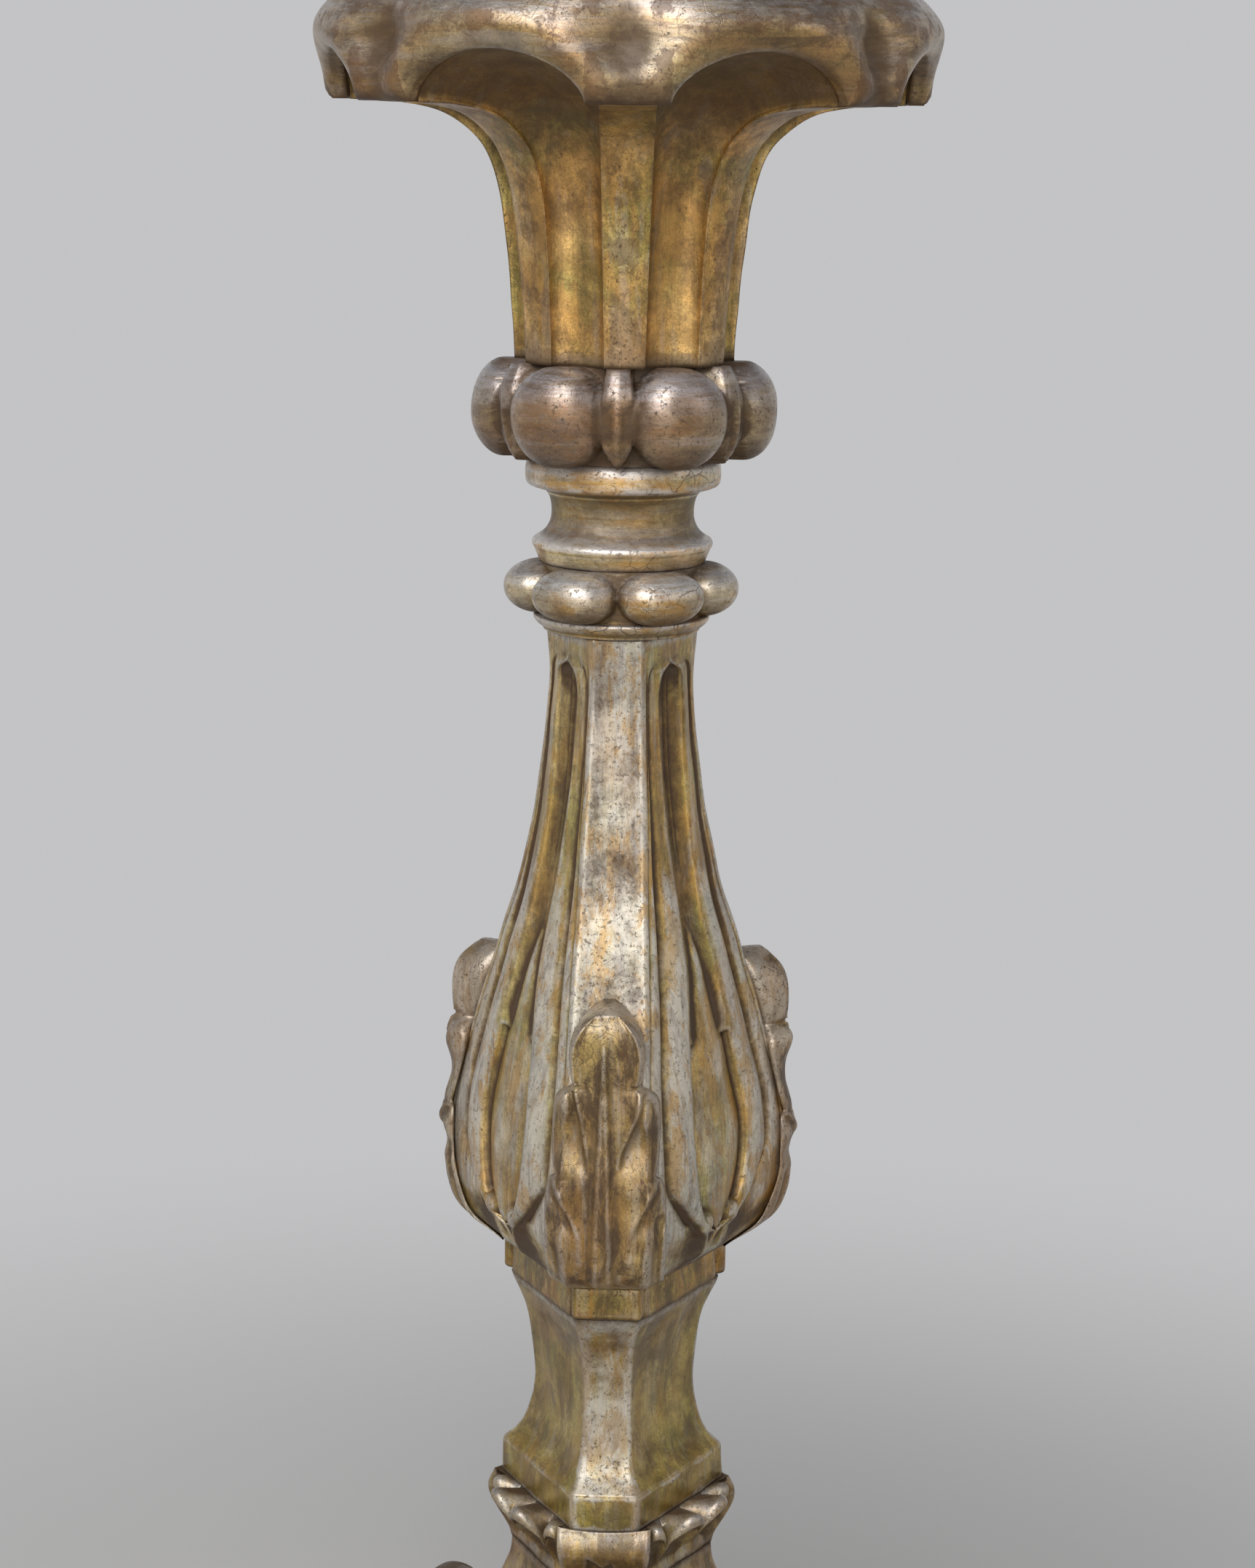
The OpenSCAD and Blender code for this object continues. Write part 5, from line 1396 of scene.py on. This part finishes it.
def plate(name, outline, width, bevel):
    # a flat board cut to an outline of (ahead, height) points, its thickness across
    bpy.ops.mesh.primitive_circle_add(vertices=len(outline), radius=1)
    board = bpy.context.object
    board.name = name
    points = np.stack([np.full(len(outline), -width / 2), -outline[:, 0], outline[:, 1]], -1) * mm
    board.data.vertices.foreach_set("co", points.ravel())
    bpy.ops.object.mode_set(mode="EDIT")
    bpy.ops.mesh.select_all(action="SELECT")
    bpy.ops.mesh.edge_face_add()
    bpy.ops.mesh.extrude_region_move(TRANSFORM_OT_translate={"value": (width * mm, 0, 0)})
    bpy.ops.mesh.select_all(action="SELECT")
    bpy.ops.mesh.normals_make_consistent(inside=False)
    bpy.ops.mesh.bevel(offset=bevel * mm, segments=2, affect="EDGES")
    bpy.ops.object.mode_set(mode="OBJECT")
    return board


def sweptFront(base):
    ends = []
    for (ahead, rise, reach), angle in ((leg["toe"], 62), (leg["shoulder"], -50)):
        angle = math.radians(angle)
        ends.append(np.array([ahead + reach * math.cos(angle), rise + reach * math.sin(angle)]))
    pull = (ends[0] + ends[1]) / 2 - (2 * leg["sweep"], 0)
    t = np.linspace(0, 1, 40)[:, None]
    return (1 - t) ** 2 * ends[0] + 2 * t * (1 - t) * pull + t * t * ends[1] + (0, base)


def makeLegParts(base):
    toe, shoulder = leg["toe"], leg["shoulder"]
    half = leg["band"] / 2
    front = sweptFront(base)
    along, out = stepsAlong(front)
    front = front + out * half
    toeRoll = spiral((toe[0], toe[1] + base), toe[2] - half, 11, 58, -1.55, 90)[::-1]
    shoulderRoll = spiral((shoulder[0], shoulder[1] + base), shoulder[2] - half, 10, -46, 1.5, 80)

    def tapered(full, end):
        return np.concatenate([np.linspace(end, full, len(toeRoll)), np.full(len(front) - 4, float(full)),
                               np.linspace(full, end, len(shoulderRoll))])

    path = np.concatenate([toeRoll, front[2:-2], shoulderRoll])
    width, thick = tapered(leg["width"], leg["rollWidth"]), tapered(leg["band"], leg["rollThick"])
    parts = [ribbon("legBand", path, width, thick)]
    back = core["reach"] - 4
    web = [[(back, base + 0.3), (toe[0], base + 0.3)], front[2:-2] + out[2:-2] * 0.5,
           [(shoulder[0], shoulder[1] + base), (shoulder[0], base + 222), (back, base + 216)]]
    parts.append(plate("legWeb", np.concatenate(web), leg["webWidth"], leg["webBevel"]))
    for ahead, rise, reach in (toe, shoulder):
        place = (ahead, rise + base)
        parts.append(disc("legDisc", place, reach - leg["band"] + 0.5, leg["webWidth"] + 1, 0, 64))
        parts.append(disc("legEye", place, leg["eye"], leg["eyeWidth"], leg["eyeDome"], 48))
    parts.append(makeLegLeaf(front, along))
    return parts


def makeLegLeaf(front, along):
    # a leaf laid on the swept front, its foot over the toe and its tip towards the shoulder
    ring = leafPoints.copy()
    x = ring[..., 0] * leg["leafScale"]
    base, balusterTop = levels("baluster")
    t = np.clip((ring[..., 2] - base) / leaf["tall"], 0, 1)
    share = t[:, 0] * leaf["tall"] / (balusterTop - base)
    reach = balusterReach(share) + leaf["gap"]
    facet = balusterFacet(share) / 2
    fold = np.maximum(np.abs(ring[..., 0]) - facet[:, None], 0)
    proud = (-ring[..., 1] - reach[:, None] + fold) * 0.5
    curlOff = 0.31 * (mix(leaf["flat"], leaf["tip"], curve(leafCurl, t)) - leaf["flat"])
    proud = np.where(proud > 1, proud - curlOff, proud)
    length = np.concatenate([[0], np.cumsum(np.linalg.norm(np.diff(front, axis=0), axis=1))])
    s = mix(0.04, 0.93, t) * length[-1]
    px, pz = np.interp(s, length, front[:, 0]), np.interp(s, length, front[:, 1])
    ax, az = np.interp(s, length, along[:, 0]), np.interp(s, length, along[:, 1])
    out = leg["band"] / 2 - 1 + proud
    return shell("legLeaf", np.stack([x, -(px + az * out), pz - ax * out], -1))


def makeLegs():
    whole = join("leg", makeLegParts(levels("leg_front")[0]))
    pieces = copyTurned(whole, legTurns, ("scrollLegFront", "scrollLegRight", "scrollLegLeft"))
    for piece, node in zip(pieces, ("leg_front", "leg_right", "leg_left")):
        finishPiece(piece, node, baseGilding, creaseAngle=60, steps=10)


boss = {
    "halfWide": 23, "halfTall": 39, "proud": 12, "sunk": 2.4, "columns": 160, "flutes": 20,
    "fluteDepth": 0.9,
}
# share of the half width and share of the height that the boss stands out, from its rim to its crown
bossOutline = [
    (1, 0), (1, 0.2), (0.985, 0.3), (0.95, 0.36), (0.9, 0.34), (0.87, 0.24), (0.85, 0.2), (0.83, 0.26),
    (0.8, 0.4), (0.74, 0.56), (0.66, 0.68), (0.57, 0.74), (0.52, 0.72), (0.5, 0.7), (0.485, 0.76),
    (0.45, 0.86), (0.38, 0.94), (0.28, 0.98), (0.14, 1),
]


def makeBosses():
    middle = sum(levels("boss_back")) / 2
    ahead = faceReach(core["reach"], core["facet"])
    a = np.arange(boss["columns"]) * 2 * math.pi / boss["columns"]
    rows = []
    for share, proud in [(0.5, None), (1, None)] + bossOutline:
        flute = boss["fluteDepth"] * np.cos(boss["flutes"] * a) * float(hump(share, 0.68, 0.13, 4))
        out = np.full(len(a), -boss["sunk"]) if proud is None else boss["proud"] * proud + flute
        rows.append(np.stack([boss["halfWide"] * share * np.cos(a), -(ahead + out),
                              middle + boss["halfTall"] * share * np.sin(a)], -1))
    pieces = copyTurned(shell("boss", np.stack(rows)), faceTurns, ("bossRight", "bossBack", "bossLeft"))
    for piece, node in zip(pieces, ("boss_right", "boss_back", "boss_left")):
        finishPiece(piece, node, crownGilding)


board = {"reach": 176, "corner": 66, "hollow": 22, "carved": 0.3}
# height over the board's underside and how far its edge steps in
boardEdge = [
    (0, 2.5), (0.6, 0.8), (2, 0), (5, 0), (9, 0), (11.4, 0), (12, 0.5), (12.4, 1.6), (12.8, 2.6), (14.2, 3),
    (15.8, 3.6), (17.4, 4.8), (18.8, 6.6), (19.8, 8.6), (20.4, 9.4), (21.3, 9.6), (21.8, 10), (22, 10.8),
]


def boardRing(step, height):
    reach, corner = board["reach"] - step, board["corner"] - 1.155 * step
    wide, ahead = faceHalf(reach, corner), faceReach(reach, corner)
    sides, corners, outline = softArris(81), softArris(25)[1:-1], []
    for turn in faceTurns:
        outline.append(turned(ahead - board["hollow"] * (1 - sides * sides), sides * wide, turn, height))
        outline.append(turned(reach, corners * corner / 2, turn + 60, height))
    return np.concatenate(outline)


def makeBoard():
    base = levels("floor_board")[0]
    rows = [boardRing(0, base) * (share, share, 1) for share in (0.3, 0.6, 0.85)]
    rows += [boardRing(step, base + z) for z, step in boardEdge]
    rows += [boardRing(boardEdge[-1][1], base + 22) * (share, share, 1) for share in (0.85, 0.6, 0.3)]
    rows = np.stack(rows)
    rows[3:-4] = carverHand(rows[3:-4].copy(), board["carved"], 60)
    piece = shell("floorBoard", rows)
    return finishPiece(piece, "floor_board", baseGilding, deep=2, steps=12)


foot = {"reach": 142, "around": 72}
footOutline = [
    (0, 0), (15, 0), (18.6, 0.5), (21.6, 2.2), (24.2, 5.4), (25.6, 9), (26, 12), (25.7, 14.6), (24.6, 17.6),
    (22.6, 20), (21.4, 20.9), (21.2, 21.4), (21.6, 22.2), (21.6, 23.3), (20.8, 24), (14, 24), (8, 24),
    (8, 31), (8, 37.3), (7.3, 38), (0, 38),
]


def makeFeet():
    pieces = copyTurned(turnedPiece("foot", footOutline, foot["around"]), legTurns,
                        ("footFront", "footRight", "footLeft"), foot["reach"])
    for piece, node in zip(pieces, ("foot_front", "foot_right", "foot_left")):
        finishPiece(piece, node, crownGilding)


makeCore()
makeLegs()
makeBosses()
makeBoard()
makeFeet()
print("base made")


# ---- tray and pricket ----

trayOutline = [
    (4.6, 0), (60, 0), (116, 0), (119, 0.2), (120.6, 1.4), (122.4, 4.6), (123.4, 6.6), (124, 7.2),
    (124, 7.8), (123.4, 8), (122.5, 7.6), (121.4, 5.2), (119.9, 2.2), (118.6, 1.3), (116, 1.15), (112, 1.2),
    (60, 1.2), (25, 1.2), (4.6, 1.2), (4.6, 0),
]


def makeTray():
    base = levels("wax_tray")[0]
    piece = turnedPiece("waxTray", [(r, z + base) for r, z in trayOutline], 120)
    return finishPiece(piece, "wax_tray", trayBrass, creaseAngle=50)


def makePricket():
    base, top = levels("pricket")
    collar = levels("wax_tray")[0] + 1.2
    outline = [(0, base), (1.6, base + 0.2), (3, base + 8), (4.3, base + 26), (4.5, base + 40), (4.5, collar),
               (16, collar), (23, collar), (23.8, collar + 0.7), (24, collar + 2), (23.6, collar + 3.2),
               (22.4, collar + 3.9), (15, collar + 4), (9, collar + 4.2), (6.9, collar + 5),
               (6.2, collar + 6.6), (6, collar + 9), (6, collar + 16), (6, collar + 21.6),
               (5.7, collar + 23), (4.4, collar + 34),
               (2.9, collar + 48), (1.5, collar + 61), (0.6, top - 1), (0.2, top), (0, top)]
    piece = turnedPiece("pricketIron", outline, 64)
    return finishPiece(piece, "pricket", forgedIron, creaseAngle=50)


makeTray()
makePricket()
print("tray and pricket made")
